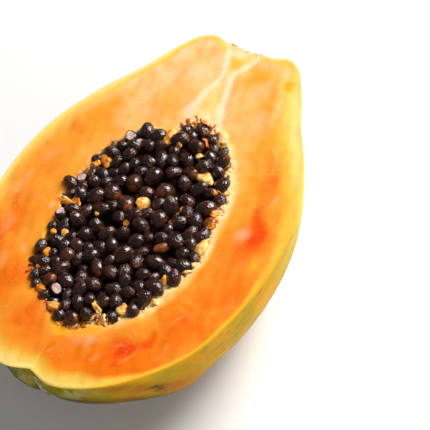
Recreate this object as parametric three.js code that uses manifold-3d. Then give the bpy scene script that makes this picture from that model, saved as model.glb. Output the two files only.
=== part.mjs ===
// A papaya half: the fruit is cut lengthwise through the stem scar and the blossom end and
// lies on its rounded back with the cut face level. Millimetres, +Z up, +X to the stem end.
// The origin is on the ground, under the middle of the box around the fruit.
import * as THREE from 'three';
import { mergeVertices } from 'three/addons/utils/BufferGeometryUtils.js';
import Module from 'manifold-3d';

const wasm = await Module();
wasm.setup();

// Fruit
const LENGTH = 162;
const MAX_RADIUS = 59.9;
const DEPTH_RATIO = 0.9; // depth below the cut face over half the width
const CUT_HEIGHT = 52.2; // 1 mm less than the depth, as the skin is pressed flat underneath
// Half outline on the cut face, [distance from the blossom tip, half the width]: blossom
// dimple, blossom lobes, belly, slightly hollow neck, shoulders and stem basin.
const OUTLINE = [
  [2.5, 0], [0, 9.5], [2.2, 19], [11.6, 34.1], [33.2, 51.9], [68, MAX_RADIUS], [97, 57.4],
  [120, 47.6], [138, 36], [151, 29], [159.6, 22.6], [LENGTH, 17], [160.3, 10.5], [159.4, 0],
];
const STEPS_PER_SPAN = 3;
const HALF_TURN_STEPS = 30;

// Five soft lobes run the length of the fruit, one for each carpel
const LOBES = 5;
const LOBE_TURN = THREE.MathUtils.degToRad(27); // one lobe's place, from straight down
const FLESH_LOBE_DEPTH = 0.018; // share of the radius
const END_GROOVE_DEPTH = 1.6; // between the lobes, on the two rounded ends
const END_GROOVE_RADIUS = 13; // where the grooves are deepest
const END_GROOVE_WIDTH = 8;
// Uneven places on the flank: distance from the blossom tip, turn from straight down,
// height (hollow if negative) and spread along the skin
const FLANK_PLACES = [
  { along: 42, turn: -61, height: -1.3, spread: 8 },
  { along: 29, turn: -52, height: 1.1, spread: 9 },
  { along: 104, turn: 38, height: -0.9, spread: 15 },
  { along: 74, turn: -22, height: -0.6, spread: 14 },
];

// Seed hollow, an oval hollow with a half-round to slightly angular section
const HOLLOW_START = 22.6; // from the blossom tip
const HOLLOW_LENGTH = 100;
const HOLLOW_RADIUS = 33;
const HOLLOW_DEPTH_RATIO = 0.92;
const HOLLOW_LOBE_DEPTH = 0.05;
const HOLLOW_STEPS = 22;
const HOLLOW_TURN_STEPS = 18;

// Dry stem scar in the basin between the shoulders
const SCAR_RADIUS = 8.8;
const SCAR_BASE = 156.5; // from the blossom tip
const SCAR_FACE = 161.6;
const SCAR_SIDES = 20;
const SCAR_ROUGHNESS = 0.7;

// Seed heap
const CLEARANCE = 0.35; // between seeds and flesh
const CORE_INSET = 0.8;
const CORE_CROWN = 0.4; // top of the core above the cut face
const CORE_DOME = [160, 107, 40]; // half-axes of the flat dome that tops the core
const SEED_SPACING = 5.8;
const SEED_JITTER = 0.9;
const SEED_LENGTH = [5.7, 7.6];
const SEED_WIDTH = [4.7, 5.6];
const SEED_LIFT = [-0.3, 1.1]; // seed's middle above the core
const SEED_FIELD = [47.2, 29.8]; // half-axes of the oval that holds the seeds' middles
const SEED_OVERHANG = 3.4; // how far they spread over the rim on the +Y side
const ROUNDING = 1.08; // a faceted seed drawn this much larger has the round one's volume

// A fixed sequence of numbers between 0 and 1, the same on every run
function makeRandom(seed) {
  let state = seed;
  return () => {
    state = (state + 0x6d2b79f5) | 0;
    let mixed = Math.imul(state ^ (state >>> 15), 1 | state);
    mixed = (mixed + Math.imul(mixed ^ (mixed >>> 7), 61 | mixed)) ^ mixed;
    return ((mixed ^ (mixed >>> 14)) >>> 0) / 4294967296;
  };
}

// Distance from the blossom tip to X in the part's frame
const toX = (along) => along - LENGTH / 2;
const HOLLOW_MIDDLE = toX(HOLLOW_START + HOLLOW_LENGTH / 2);

// Height of the lobes at a turn from straight down, -1 to 1, and 0 at the cut face
function lobeWave(turn) {
  const atRim = Math.cos(LOBES * (Math.PI / 2 - LOBE_TURN));
  return Math.cos(LOBES * (turn - LOBE_TURN)) - atRim * Math.sin(turn);
}

// A solid from an array of corner points and an array of triangles
function toSolid(points, triangles) {
  const geometry = new THREE.BufferGeometry();
  geometry.setAttribute('position', new THREE.Float32BufferAttribute(points.flat(), 3));
  geometry.setIndex(triangles.flat());
  return geometryToSolid(geometry);
}

// The geometry with only positions left and its shared corners merged
function weld(geometry) {
  geometry.deleteAttribute('normal');
  geometry.deleteAttribute('uv');
  return mergeVertices(geometry, 1e-4);
}

function geometryToSolid(geometry) {
  const merged = weld(geometry);
  const index = merged.index.array;
  const triVerts = [];
  for (let i = 0; i < index.length; i += 3) {
    const [a, b, c] = [index[i], index[i + 1], index[i + 2]];
    if (a !== b && b !== c && c !== a) triVerts.push(a, b, c);
  }
  return new wasm.Manifold(new wasm.Mesh({
    numProp: 3,
    vertProperties: new Float32Array(merged.attributes.position.array),
    triVerts: new Uint32Array(triVerts),
  }));
}

function solidToMesh(name, solid, color, roughness) {
  const { vertProperties, triVerts } = solid.getMesh();
  const geometry = new THREE.BufferGeometry();
  geometry.setAttribute('position', new THREE.BufferAttribute(vertProperties, 3));
  geometry.setIndex(new THREE.BufferAttribute(triVerts, 1));
  geometry.computeVertexNormals();
  const material = new THREE.MeshStandardMaterial({ color, roughness, metalness: 0 });
  const mesh = new THREE.Mesh(geometry, material);
  mesh.name = name;
  return mesh;
}

// The part of a turned body below the cut face, closed with a flat cap. `sections` lists
// [along, radius] from one end on the axis to the other, `place` gives the point of the skin
// at a section and a turn, and `wall` carries the rim straight up above the cut face.
function halfBody(sections, turnSteps, place, wall) {
  const points = [];
  const rows = turnSteps + 3;
  for (const [along, radius] of sections) {
    const ring = [];
    for (let step = 0; step <= turnSteps; step++) {
      ring.push(place(along, radius, -Math.PI / 2 + (Math.PI * step) / turnSteps));
    }
    const lift = ([x, y, z]) => [x, y, z + wall];
    points.push(lift(ring[0]), ...ring, lift(ring[turnSteps]));
  }
  const triangles = [];
  for (let i = 0; i < sections.length - 1; i++) {
    for (let j = 0; j < rows - 1; j++) {
      const a = i * rows + j;
      triangles.push([a, a + 1, a + rows], [a + 1, a + rows + 1, a + rows]);
    }
  }
  // The cap's contour runs along one rim and back along the other, with each end taken once
  const near = sections.map((_, i) => i * rows);
  const far = sections.map((_, i) => i * rows + rows - 1).slice(1, -1).reverse();
  const contour = [...near, ...far];
  const flat = contour.map((i) => new THREE.Vector2(points[i][0], points[i][1]));
  for (const [a, b, c] of THREE.ShapeUtils.triangulateShape(flat, [])) {
    triangles.push([contour[a], contour[b], contour[c]]);
  }
  return toSolid(points, triangles);
}

// The fruit's outline as sections of a smooth curve, denser where its points are closer
function fruitSections() {
  const corners = OUTLINE.map(([along, radius]) => new THREE.Vector3(along, radius, 0));
  const curve = new THREE.CatmullRomCurve3(corners, false, 'centripetal');
  const points = curve.getPoints(STEPS_PER_SPAN * (OUTLINE.length - 1));
  return points.map((point) => [point.x, Math.max(point.y, 0)]);
}

function fruitPoint(along, radius, turn) {
  const wave = lobeWave(turn);
  let reach = radius * (1 + FLESH_LOBE_DEPTH * wave);
  for (const { along: at, turn: side, height, spread } of FLANK_PLACES) {
    const across = radius * (turn - THREE.MathUtils.degToRad(side));
    const fade = Math.cos(turn) * Math.min(1, radius / 20);
    reach += height * fade * Math.exp(-((along - at) ** 2 + across ** 2) / spread ** 2);
  }
  const nearEnd = Math.exp(-(((radius - END_GROOVE_RADIUS) / END_GROOVE_WIDTH) ** 2));
  const groove = END_GROOVE_DEPTH * nearEnd * Math.min(wave, 0) * Math.min(1, radius / 6);
  return [
    toX(along + (along < LENGTH / 2 ? -groove : groove)),
    reach * Math.sin(turn),
    CUT_HEIGHT - DEPTH_RATIO * reach * Math.cos(turn),
  ];
}

// The seed hollow, smaller all round by `inset` and carried up by `wall`
function hollowBody(inset, wall) {
  const sections = [];
  for (let step = 0; step <= HOLLOW_STEPS; step++) {
    const angle = (Math.PI * step) / HOLLOW_STEPS;
    const x = HOLLOW_MIDDLE - (HOLLOW_LENGTH / 2 - inset) * Math.cos(angle);
    const isEnd = step === 0 || step === HOLLOW_STEPS;
    sections.push([x, isEnd ? 0 : (HOLLOW_RADIUS - inset) * Math.sin(angle)]);
  }
  const place = (x, radius, turn) => {
    const reach = radius * (1 + HOLLOW_LOBE_DEPTH * lobeWave(turn));
    const z = CUT_HEIGHT - HOLLOW_DEPTH_RATIO * reach * Math.cos(turn);
    return [x, reach * Math.sin(turn), z];
  };
  return halfBody(sections, HOLLOW_TURN_STEPS, place, wall);
}

// A short stub of dry stem tissue with a broken face, turned about the fruit's axis
function stemScar() {
  const random = makeRandom(11);
  const height = SCAR_FACE - SCAR_BASE;
  const profile = [
    [0, 0], [SCAR_RADIUS * 0.9, 0], [SCAR_RADIUS, height * 0.75], [SCAR_RADIUS * 0.84, height],
    [SCAR_RADIUS * 0.5, height * 0.82], [SCAR_RADIUS * 0.22, height * 0.95], [0, height * 0.8],
  ];
  const points = profile.map(([radius, z]) => new THREE.Vector2(radius, z));
  const geometry = weld(new THREE.LatheGeometry(points, SCAR_SIDES));
  const position = geometry.attributes.position;
  for (let i = 0; i < position.count; i++) {
    if (position.getY(i) > height * 0.5) {
      position.setY(i, position.getY(i) + SCAR_ROUGHNESS * (random() - 0.5) * 2);
    }
  }
  geometry.rotateZ(-Math.PI / 2);
  geometry.translate(toX(SCAR_BASE), 0, CUT_HEIGHT);
  return geometryToSolid(geometry);
}

// A level slab wider than the fruit
function slab(bottom, top) {
  const geometry = new THREE.BoxGeometry(2 * LENGTH, 2 * LENGTH, top - bottom);
  geometry.translate(0, 0, (bottom + top) / 2);
  return geometryToSolid(geometry);
}

// Rind and flesh in one: fruit and stem scar, cut level, hollowed, pressed flat underneath
function makeFlesh() {
  const body = halfBody(fruitSections(), HALF_TURN_STEPS, fruitPoint, 0);
  return body.add(stemScar()).intersect(slab(0, CUT_HEIGHT)).subtract(hollowBody(0, 2));
}

// Height of the core's dome over a point, with x counted from the hollow's middle
function domeHeight(x, y) {
  const [a, b, c] = CORE_DOME;
  return CUT_HEIGHT + CORE_CROWN - c + c * Math.sqrt(1 - (x / a) ** 2 - (y / b) ** 2);
}

// One faceted seed, an egg shape lying on its side with a random turn and lean
function seedSolid(x, y, random) {
  const between = ([low, high]) => low + (high - low) * random();
  const length = between(SEED_LENGTH) * ROUNDING;
  const width = between(SEED_WIDTH) * ROUNDING;
  const geometry = new THREE.IcosahedronGeometry(0.5, 0);
  geometry.scale(length, width, width);
  geometry.rotateY((random() - 0.5) * 1.1);
  geometry.rotateZ(random() * Math.PI);
  geometry.translate(HOLLOW_MIDDLE + x, y, domeHeight(x, y) + between(SEED_LIFT));
  return geometryToSolid(geometry);
}

// Seeds in staggered rows over the oval, each moved a little at random
function seedSolids() {
  const random = makeRandom(5);
  const rowStep = SEED_SPACING * Math.sqrt(0.75);
  const rowCount = Math.ceil(HOLLOW_RADIUS / rowStep);
  const columnCount = Math.ceil(HOLLOW_LENGTH / 2 / SEED_SPACING);
  const seeds = [];
  for (let row = -rowCount; row <= rowCount; row++) {
    for (let column = -columnCount; column <= columnCount; column++) {
      const stagger = row % 2 === 0 ? 0 : 0.5;
      const x = (column + stagger) * SEED_SPACING + (random() - 0.5) * 2 * SEED_JITTER;
      const y = row * rowStep + (random() - 0.5) * 2 * SEED_JITTER;
      const halfWidth = SEED_FIELD[1] + (y > 0 ? SEED_OVERHANG : 0);
      if ((x / SEED_FIELD[0]) ** 2 + (y / halfWidth) ** 2 > 1) continue;
      seeds.push(seedSolid(x, y, random));
    }
  }
  return seeds;
}

// The heap: a core that fills the hollow, with the seeds that show fused on. It is kept
// inside the hollow below the cut face, and clear of the cut face above it.
function makeSeedHeap() {
  const dome = new THREE.SphereGeometry(1, 32, 24);
  dome.rotateX(Math.PI / 2);
  dome.scale(...CORE_DOME);
  dome.translate(HOLLOW_MIDDLE, 0, CUT_HEIGHT + CORE_CROWN - CORE_DOME[2]);
  const core = hollowBody(CORE_INSET, CORE_CROWN + 1).intersect(geometryToSolid(dome));
  const heap = seedSolids().reduce((whole, seed) => whole.add(seed), core);
  const above = slab(CUT_HEIGHT + CLEARANCE, CUT_HEIGHT + HOLLOW_RADIUS);
  const kept = heap.intersect(hollowBody(CLEARANCE, 2 * CLEARANCE).add(above));
  return kept.decompose().sort((a, b) => b.volume() - a.volume())[0];
}

const papayaHalf = new THREE.Group();
papayaHalf.add(solidToMesh('flesh', makeFlesh(), 0xf58a2a, 0.45));
papayaHalf.add(solidToMesh('seeds', makeSeedHeap(), 0x2a1a16, 0.3));

export default papayaHalf;
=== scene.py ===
import bpy
import numpy as np
from mathutils import Matrix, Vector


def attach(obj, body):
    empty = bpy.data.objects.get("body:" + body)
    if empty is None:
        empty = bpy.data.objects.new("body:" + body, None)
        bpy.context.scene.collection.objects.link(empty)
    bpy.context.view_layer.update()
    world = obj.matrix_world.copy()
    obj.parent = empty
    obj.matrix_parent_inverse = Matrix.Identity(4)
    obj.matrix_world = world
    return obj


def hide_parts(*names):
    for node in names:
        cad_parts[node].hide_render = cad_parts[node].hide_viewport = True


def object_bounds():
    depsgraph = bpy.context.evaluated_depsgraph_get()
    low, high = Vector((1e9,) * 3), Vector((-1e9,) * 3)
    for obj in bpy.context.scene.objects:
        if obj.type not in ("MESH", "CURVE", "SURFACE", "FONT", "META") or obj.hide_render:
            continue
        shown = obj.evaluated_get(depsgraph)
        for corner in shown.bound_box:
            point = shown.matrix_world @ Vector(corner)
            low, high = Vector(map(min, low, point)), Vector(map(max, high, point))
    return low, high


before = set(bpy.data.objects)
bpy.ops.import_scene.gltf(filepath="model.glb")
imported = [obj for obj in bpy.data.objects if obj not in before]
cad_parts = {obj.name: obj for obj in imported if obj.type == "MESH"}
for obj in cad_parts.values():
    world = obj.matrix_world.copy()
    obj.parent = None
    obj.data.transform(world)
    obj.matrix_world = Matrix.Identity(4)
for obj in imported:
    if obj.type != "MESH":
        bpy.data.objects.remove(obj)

cad_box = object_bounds()

# ---------------------------------------------------------------------------------------
# Rind and flesh. A ripe papaya grown as one piece: a thin waxy rind over soft orange flesh
# round a hollow. It is cut lengthwise through stem and blossom end, so the cut face is flat
# and moist, and the skin below it keeps the fruit's five soft lobes. Sizes are in millimetres.

MM = 0.001
LENGTH = 162.0
MAX_RADIUS = 59.83
DEPTH_RATIO = 0.9  # depth below the cut face over half the width
CUT_HEIGHT = 52.2
OUTLINE = np.array([  # distance from the blossom tip, half the width
    (2.5, 0), (0, 9.5), (2.2, 19), (11.6, 34.1), (33.2, 51.9), (68, MAX_RADIUS), (97, 57.4),
    (120, 47.6), (138, 36), (151, 29), (159.6, 22.6), (LENGTH, 17), (160.3, 10.5), (159.4, 0),
])
LOBES = 5
LOBE_TURN = np.radians(27)
LOBE_DEPTH = 0.018
END_GROOVE_DEPTH = 1.6
END_GROOVE_RADIUS = 13.0
END_GROOVE_WIDTH = 8.0
FLANK_PLACES = (  # distance from the blossom tip, turn from straight down, height, spread
    (44, -61, -1.3, 8), (30, -54, 2.4, 9), (13, -62, -0.9, 7), (104, 38, -0.9, 15), (74, -22, -0.6, 14),
)
LUMP_DEPTH = 0.12
HOLLOW_MIDDLE = np.array((-8.4, 0.0))
HOLLOW_HALF = np.array((50.0, 33.0))
HOLLOW_DEPTH = 29.3
RIM_ANGLES = (  # degrees round the hollow from the stem end
    -180, -172, -165, -158, -150, -143, -136, -128, -120, -110, -98, -86, -74, -64, -54, -44, -36, -28,
    -16, -6, 0, 5, 9, 14, 19, 26, 33, 42, 52, 66, 80, 93, 96, 104, 116, 128, 138, 146, 155, 163, 170,
)
RIM_REACH = (  # share of the even oval's radius
    1.01, 1.0, 0.95, 0.99, 0.96, 1.0, 0.99, 0.93, 0.99, 1.0, 1.0, 0.97, 0.91, 0.95, 0.97, 0.95, 0.98, 0.99,
    1.0, 1.02, 1.03, 0.98, 0.88, 0.82, 0.9, 1.01, 1.01, 1.0, 1.03, 1.01, 1.03, 1.04, 0.98, 0.92, 0.94,
    0.98, 1.02, 1.0, 0.99, 0.95, 0.97,
)
RIM_INSET = 0.975
TORN_AT, TORN_SHARES = (-180, -150, -20, 10, 170, 180), (0.5, 1.0, 1.0, 0.3, 0.3, 0.5)
ROUNDING_AT = (-180, -150, -60, -25, 0, 30, 150, 180)
RIM_ROUNDING = (2.0, 2.8, 2.6, 1.4, 0.9, 1.0, 1.0, 2.0)  # radius of the hollow's softened edge


def centripetal_curve(points, per_span):
    """Smooth curve through points. Each span is a cubic whose end slopes weigh the chords on
    either side by the square root of their lengths, so close points make no overshoot."""
    ends = (2 * points[0] - points[1], 2 * points[-1] - points[-2])
    p = np.vstack((ends[0], points, ends[1]))
    step = np.sqrt(np.linalg.norm(np.diff(p, axis=0), axis=1))
    before, here, after = step[:-2, None], step[1:-1, None], step[2:, None]
    p0, p1, p2, p3 = p[:-3], p[1:-2], p[2:-1], p[3:]
    slope1 = ((p1 - p0) / before - (p2 - p0) / (before + here) + (p2 - p1) / here) * here
    slope2 = ((p2 - p1) / here - (p3 - p1) / (here + after) + (p3 - p2) / after) * here
    t = np.linspace(0, 1, per_span, endpoint=False)[None, :, None]
    p1, p2, slope1, slope2 = (a[:, None] for a in (p1, p2, slope1, slope2))
    curve = (
        p1 + slope1 * t + (3 * (p2 - p1) - 2 * slope1 - slope2) * t**2
        + (2 * (p1 - p2) + slope1 + slope2) * t**3
    )
    return np.vstack((curve.reshape(-1, points.shape[1]), points[-1]))


def spaced(curve, count):
    """The same curve as count points at equal distances along it."""
    run = np.concatenate(((0,), np.cumsum(np.linalg.norm(np.diff(curve, axis=0), axis=1))))
    at = np.linspace(0, run[-1], count)
    return np.column_stack([np.interp(at, run, column) for column in curve.T])


def lobe_wave(turn):
    """Cosine of five times the turn, tilted so that it is zero at both edges of the cut."""
    at_rim = np.cos(LOBES * (np.pi / 2 - LOBE_TURN))
    return np.cos(LOBES * (turn - LOBE_TURN)) - at_rim * np.sin(turn)


def fruit_skin(along, radius, turn):
    """A half turn of the outline about the fruit's axis, flattened by DEPTH_RATIO. The radius
    swells and shrinks with the lobes and at the uneven places, and grooves run into both ends."""
    wave = lobe_wave(turn)
    reach = radius * (1 + LOBE_DEPTH * wave)
    for at, side, height, spread in FLANK_PLACES:
        across = radius * (turn - np.radians(side))
        fade = np.cos(turn) * np.minimum(1, radius / 20)
        reach = reach + height * fade * np.exp(-((along - at) ** 2 + across**2) / spread**2)
    near_end = np.exp(-(((radius - END_GROOVE_RADIUS) / END_GROOVE_WIDTH) ** 2))
    groove = END_GROOVE_DEPTH * near_end * np.minimum(wave, 0) * np.minimum(1, radius / 6)
    x = along + np.where(along < LENGTH / 2, -groove, groove) - LENGTH / 2
    z = CUT_HEIGHT - DEPTH_RATIO * reach * np.cos(turn)
    return np.stack((x, reach * np.sin(turn), np.maximum(z, 0)), axis=-1)


def smooth(low, high, value):
    """0 at low, 1 at high, and an S-curve between."""
    t = np.clip((value - low) / (high - low), 0, 1)
    return t * t * (3 - 2 * t)


def ripple(points, wavelength, seed, waves=9):
    """Sum of plane sine waves in random directions, about -1 to 1: a smooth random field."""
    rng = np.random.default_rng(seed)
    total = np.zeros(points.shape[:-1])
    for _ in range(waves):
        direction = rng.normal(size=points.shape[-1])
        direction *= 2 * np.pi / (wavelength * rng.uniform(0.7, 1.5) * np.linalg.norm(direction))
        total += np.sin(points @ direction + rng.uniform(0, 2 * np.pi))
    return total / np.sqrt(waves)


def shaken(points, height, wavelength, seed):
    """Points moved by up to about height, by a ripple of its own along each axis."""
    moves = [ripple(points, wavelength, seed + axis) for axis in range(points.shape[-1])]
    return points + height * np.stack(moves, axis=-1)


def grid_quads(rows, columns, wrap=False):
    """Four corner numbers for each cell of a grid of rows by columns, numbered row by row. With
    wrap, the last row joins the first."""
    i, j = np.mgrid[0 : rows if wrap else rows - 1, 0 : columns - 1]
    a = (i * columns + j).ravel()
    b = ((i + 1) % rows * columns + j).ravel()
    return np.column_stack((a, b, b + 1, a + 1))


def add_piece(name, points, quads, materials, facts, kind=None):
    """A mesh object in metres from points in millimetres. Points that lie together become one,
    which closes seams and poles, and a quad with two such corners becomes a triangle. facts are
    the values at each point that the materials read, by name. kind is each quad's material
    number, and an edge between two materials is a sharp one."""
    _, first, where = np.unique(np.round(points, 4), axis=0, return_index=True, return_inverse=True)
    corners = where.ravel()[quads]
    doubled = corners == np.roll(corners, -1, axis=1)
    kind = np.zeros(len(quads), int) if kind is None else kind
    whole = doubled.sum(axis=1) == 0
    faces, kinds = corners[whole].tolist(), [kind[whole]]
    for k in range(4):
        lost = doubled[:, k] & (doubled.sum(axis=1) == 1)
        faces += np.delete(corners[lost], k, axis=1).tolist()
        kinds.append(kind[lost])
    kinds = np.concatenate(kinds)
    mesh = bpy.data.meshes.new(name)
    mesh.from_pydata((points[first] * MM).tolist(), [], faces)
    mesh.polygons.foreach_set("material_index", kinds)
    mesh.shade_smooth()
    for key, values in facts.items():
        form, field = ("FLOAT", "value") if values.ndim == 1 else ("FLOAT_VECTOR", "vector")
        mesh.attributes.new(key, form, "POINT").data.foreach_set(field, values[first].ravel())
    if len(materials) > 1:
        edge_of = np.empty(len(mesh.loops), int)
        mesh.loops.foreach_get("edge_index", edge_of)
        sides = np.repeat(kinds, [len(face) for face in faces])
        low = np.full(len(mesh.edges), len(materials))
        high = np.zeros(len(mesh.edges), int)
        np.minimum.at(low, edge_of, sides)
        np.maximum.at(high, edge_of, sides)
        mesh.attributes.new("sharp_edge", "BOOLEAN", "EDGE").data.foreach_set("value", low != high)
    for material in materials:
        mesh.materials.append(material)
    piece = bpy.data.objects.new(name, mesh)
    bpy.context.scene.collection.objects.link(piece)
    return piece


# The skin: a grid of rings along the fruit by steps of turn.
SKIN_ROWS, SKIN_COLUMNS = 236, 121
outline = spaced(centripetal_curve(OUTLINE, 40), SKIN_ROWS)
turn = np.broadcast_to(np.linspace(-np.pi / 2, np.pi / 2, SKIN_COLUMNS), (SKIN_ROWS, SKIN_COLUMNS))
along, skin_radius = np.broadcast_to(outline[:, :1], turn.shape), outline[:, 1:]
skin = fruit_skin(along, skin_radius, turn)
fine_lumps = np.minimum(LUMP_DEPTH * ripple(skin, 9, 1) - 0.1, 0)
fine_lumps *= np.minimum(1, skin_radius / 10) * np.cos(turn)
skin[..., 1] += fine_lumps * np.sin(turn)
skin[..., 1] = np.clip(skin[..., 1], cad_box[0][1] / MM, cad_box[1][1] / MM)
skin[..., 2] = np.maximum(skin[..., 2] - fine_lumps * np.cos(turn), 0)

# The cut face: lines from each point of the outline to the hollow's rim.
FROM_SKIN = np.array((0, 0.25, 0.55, 0.9, 1.4, 2.0))
FROM_RIM = np.array((3.4, 2.6, 2.0, 1.5, 1.1, 0.75, 0.45, 0.2, 0))
MIDDLE_COLUMNS = 44
loop = np.vstack((skin[:, 0], skin[-2:0:-1, -1]))[:, :2]
angle = np.arctan2(loop[:, 1], loop[:, 0] - HOLLOW_MIDDLE[0])
loop_degrees = np.degrees(angle)
direction = np.column_stack((np.cos(angle), np.sin(angle)))
reach = 1 / np.hypot(*(direction / HOLLOW_HALF).T)
oval = reach[:, None] * direction
torn = np.interp(loop_degrees, TORN_AT, TORN_SHARES)
torn_edge = torn * (0.45 * ripple(oval, 3.2, 41) + 0.35 * ripple(oval, 1.7, 42))
raggedness = np.interp(loop_degrees, RIM_ANGLES, RIM_REACH, period=360)
ragged_reach = reach * RIM_INSET * raggedness + torn_edge
rim = HOLLOW_MIDDLE + ragged_reach[:, None] * direction
width = np.linalg.norm(loop - rim, axis=1)[:, None]
outer = FROM_SKIN / width
inner = 1 - FROM_RIM / width
blend = np.linspace(0, 1, MIDDLE_COLUMNS + 2)[1:-1]
share = np.hstack((outer, outer[:, -1:] * (1 - blend) + inner[:, :1] * blend, inner))[..., None]
face = loop[:, None] * (1 - share) + rim[:, None] * share
from_skin = share[..., 0] * width
from_rim = (1 - share[..., 0]) * width
rounding = np.interp(loop_degrees, ROUNDING_AT, RIM_ROUNDING)[:, None]
sag = rounding * (1 - np.sqrt(1 - np.clip(1 - from_rim / rounding, 0, 0.85) ** 2))
relief = 0.13 * ripple(face, 14, 2) + 0.07 * ripple(face, 5, 3) - 0.15
relief *= smooth(0, 2.5, from_skin)
face = np.dstack((face, CUT_HEIGHT + relief - sag))

# The hollow's wall: each line goes on down a quarter of an oval to the bottom.
WALL_ROWS = 22
dip = np.linspace(0, np.pi / 2, WALL_ROWS + 1)[1:]
evened = smooth(0, 0.35, dip)
wall_reach = ragged_reach[:, None] * (1 - evened) + reach[:, None] * evened
wall_xy = HOLLOW_MIDDLE + direction[:, None] * (wall_reach * np.cos(dip))[..., None]
wall_top = face[:, -1:, 2]
wall_drop = (HOLLOW_DEPTH - CUT_HEIGHT + wall_top) * np.sin(dip)
face_grid = np.hstack((face, np.dstack((wall_xy, wall_top - wall_drop))))
from_skin = np.hstack((from_skin, np.repeat(width, WALL_ROWS, axis=1)))
from_rim = np.hstack((from_rim, -wall_drop))
from_oval = from_rim + (ragged_reach - reach)[:, None]

# What shows on the cut face, as shares from 0 to 1 at each of its points. The near side is -Y.
PALE_AT = (-81, -75, -72, -68, -62, -50, -30, -10, 5, 15, 27, 36, 45, 60, 70, 76, 81)
PALE_WIDTH_NEAR = (7, 6, 5, 3.2, 1.6, 1.0, 1.2, 1.8, 2.6, 4.2, 6.2, 7.5, 9, 9, 7.5, 3, 2)
PALE_WIDTH_FAR = (8, 7, 6, 5, 4.5, 3.5, 3, 3, 3, 3.5, 4, 4, 4, 3.5, 3, 3, 3)
CREAMY_AT = (-81, -74, -66, 12, 27, 40, 60, 81)
CREAMY_NEAR = (0.6, 0.4, 0.1, 0.1, 0.35, 0.85, 1, 0.8)
CREAMY_FAR = 0.85
RIPE_AT, RIPE_SHARES = (-81, -60, -30, 0, 25, 50, 80), (0.5, 0.76, 0.72, 0.62, 0.5, 0.34, 0.3)
LINING_ANGLES = (-180, -150, -135, -105, -75, -45, -25, -15, 0, 30, 60, 120, 150, 165, 180)
LINING_WIDTHS = (3.2, 3.9, 4.4, 3.3, 3.5, 4.0, 3.4, 3.6, 5.0, 1.6, 0.01, 0.01, 0.4, 1.0, 3.0)
# How strongly the flesh at the hollow's rim is painted red brown for shade and glow, by degrees round the
# hollow from the stem end.
RIM_SHADE_ANGLES = (-180, -176, 0, 30, 60, 125, 140, 150, 168, 176, 180)
RIM_SHADE_SHARES = (0.2, 0, 0, 0.6, 0.35, 0.3, 0.7, 1.2, 1.2, 0.5, 0.2)
VEIN_LEFT = np.array((  # the two pale veins that run in from the stem
    (79.6, 8.7), (74.7, 7.2), (68.7, 5.1), (64.4, 4.2), (59.4, 4.9), (55.0, 5.8), (50.2, 6.3), (45.7, 7.7),
    (41.4, 8.5),
))
VEIN_RIGHT = np.array((
    (77.3, -5.0), (73.8, -4.4), (69.8, -2.8), (66.8, -1.1), (64.2, -0.6), (60.0, -1.7), (55.8, -2.8),
    (51.0, -3.9), (45.8, -5.6), (41.0, -9.0),
))
THREADS = tuple(centripetal_curve(np.array(line), 8) for line in (  # thin pale veins in the flesh
    ((-70.4, -0.6), (-67.4, -3.1), (-63.8, -5.1)),
    ((-50.5, -23.1), (-51.3, -27.3), (-52.9, -31.2), (-55.3, -32.5), (-58.5, -32.0), (-62.9, -29.7)),
    ((-65.0, -19.4), (-60.1, -22.0), (-56.8, -24.3), (-55.0, -28.0)),
    ((-58.0, -38.2), (-54.7, -40.4), (-48.5, -41.5)),
    ((-17.5, 49.7), (-13.9, 42.5), (-16.5, 32.2)),
    ((-44.0, -36.5), (-37.5, -41.0), (-36.0, -47.0)),
))
RED_SPOTS = (  # x, y, half-length, half-width, turn in degrees, share
    (5.5, -46.2, 10.5, 3.6, 10, 1.05), (13.5, -43.6, 6.0, 3.6, 20, 0.75), (29.0, -41.6, 4.5, 3.2, 15, 0.55),
    (23.5, -40.6, 7.0, 5.0, 12, 0.42), (-3.0, -45.4, 4.5, 3.6, 0, 0.6), (-57.0, -27.6, 8.0, 4.0, -48, 1.15),
    (-63.3, -28.7, 3.4, 2.4, -66, 0.65), (-50.2, -34.8, 3.2, 2.8, -60, 0.9),
    (-61.8, 15.2, 5.0, 3.5, 100, 0.5), (-56.5, 14.6, 5.0, 3.4, 60, 0.55),
    (-23.5, -51.4, 6.0, 2.2, 10, 0.5), (-58.0, -6.0, 5.0, 7.0, 90, 0.35),
    (19.9, 44.6, 5.0, 3.0, 160, 0.4), (-16.6, 46.0, 9.0, 5.0, 10, 0.45), (7.6, 40.2, 6.0, 3.0, 0, 0.35),
    (-60.0, 14.0, 8.0, 5.0, 100, 0.45), (-50.0, 32.0, 12.0, 6.0, 130, 0.45),
    (-38.0, -43.5, 8.0, 4.0, 140, 0.4), (-36.0, 44.0, 9.0, 5.0, 60, 0.4), (-6.0, -47.0, 6.0, 4.0, 10, 0.45),
    (46.0, -31.0, 8.0, 3.0, 20, 0.25),
)
GOLD_SPOTS = (
    (-13.2, 34.8, 4.0, 1.8, 60, 0.6), (-26.5, 30.4, 4.5, 2.0, 40, 0.9), (69.0, -24.2, 2.8, 2.2, 150, 1.1),
    (71.8, -26.2, 2.2, 0.9, 150, 0.8), (71.4, 1.6, 4.6, 4.0, 60, 0.9), (50.0, 1.6, 6.0, 3.0, 0, 0.4),
    (-8.1, -53.0, 2.6, 1.5, 60, 0.9), (-59.5, 1.0, 3.0, 5.2, 10, 0.9), (-57.0, 5.0, 2.6, 3.4, 20, 0.9),
    (-50.6, 12.6, 2.0, 3.0, 30, 0.3), (2.0, -50.5, 3.0, 1.5, 40, 0.3), (30.0, 6.5, 4.5, 2.5, 0, 0.9),
)
RIPE_SPOTS = (
    (68.0, -9.5, 7.0, 3.0, 140, 0.3), (60.0, -21.0, 14.0, 3.0, 15, 0.26), (74.0, 12.0, 3.0, 3.0, 0, 0.2),
    (-68.0, -32.0, 6.0, 10.0, 30, 0.3),
)
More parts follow.
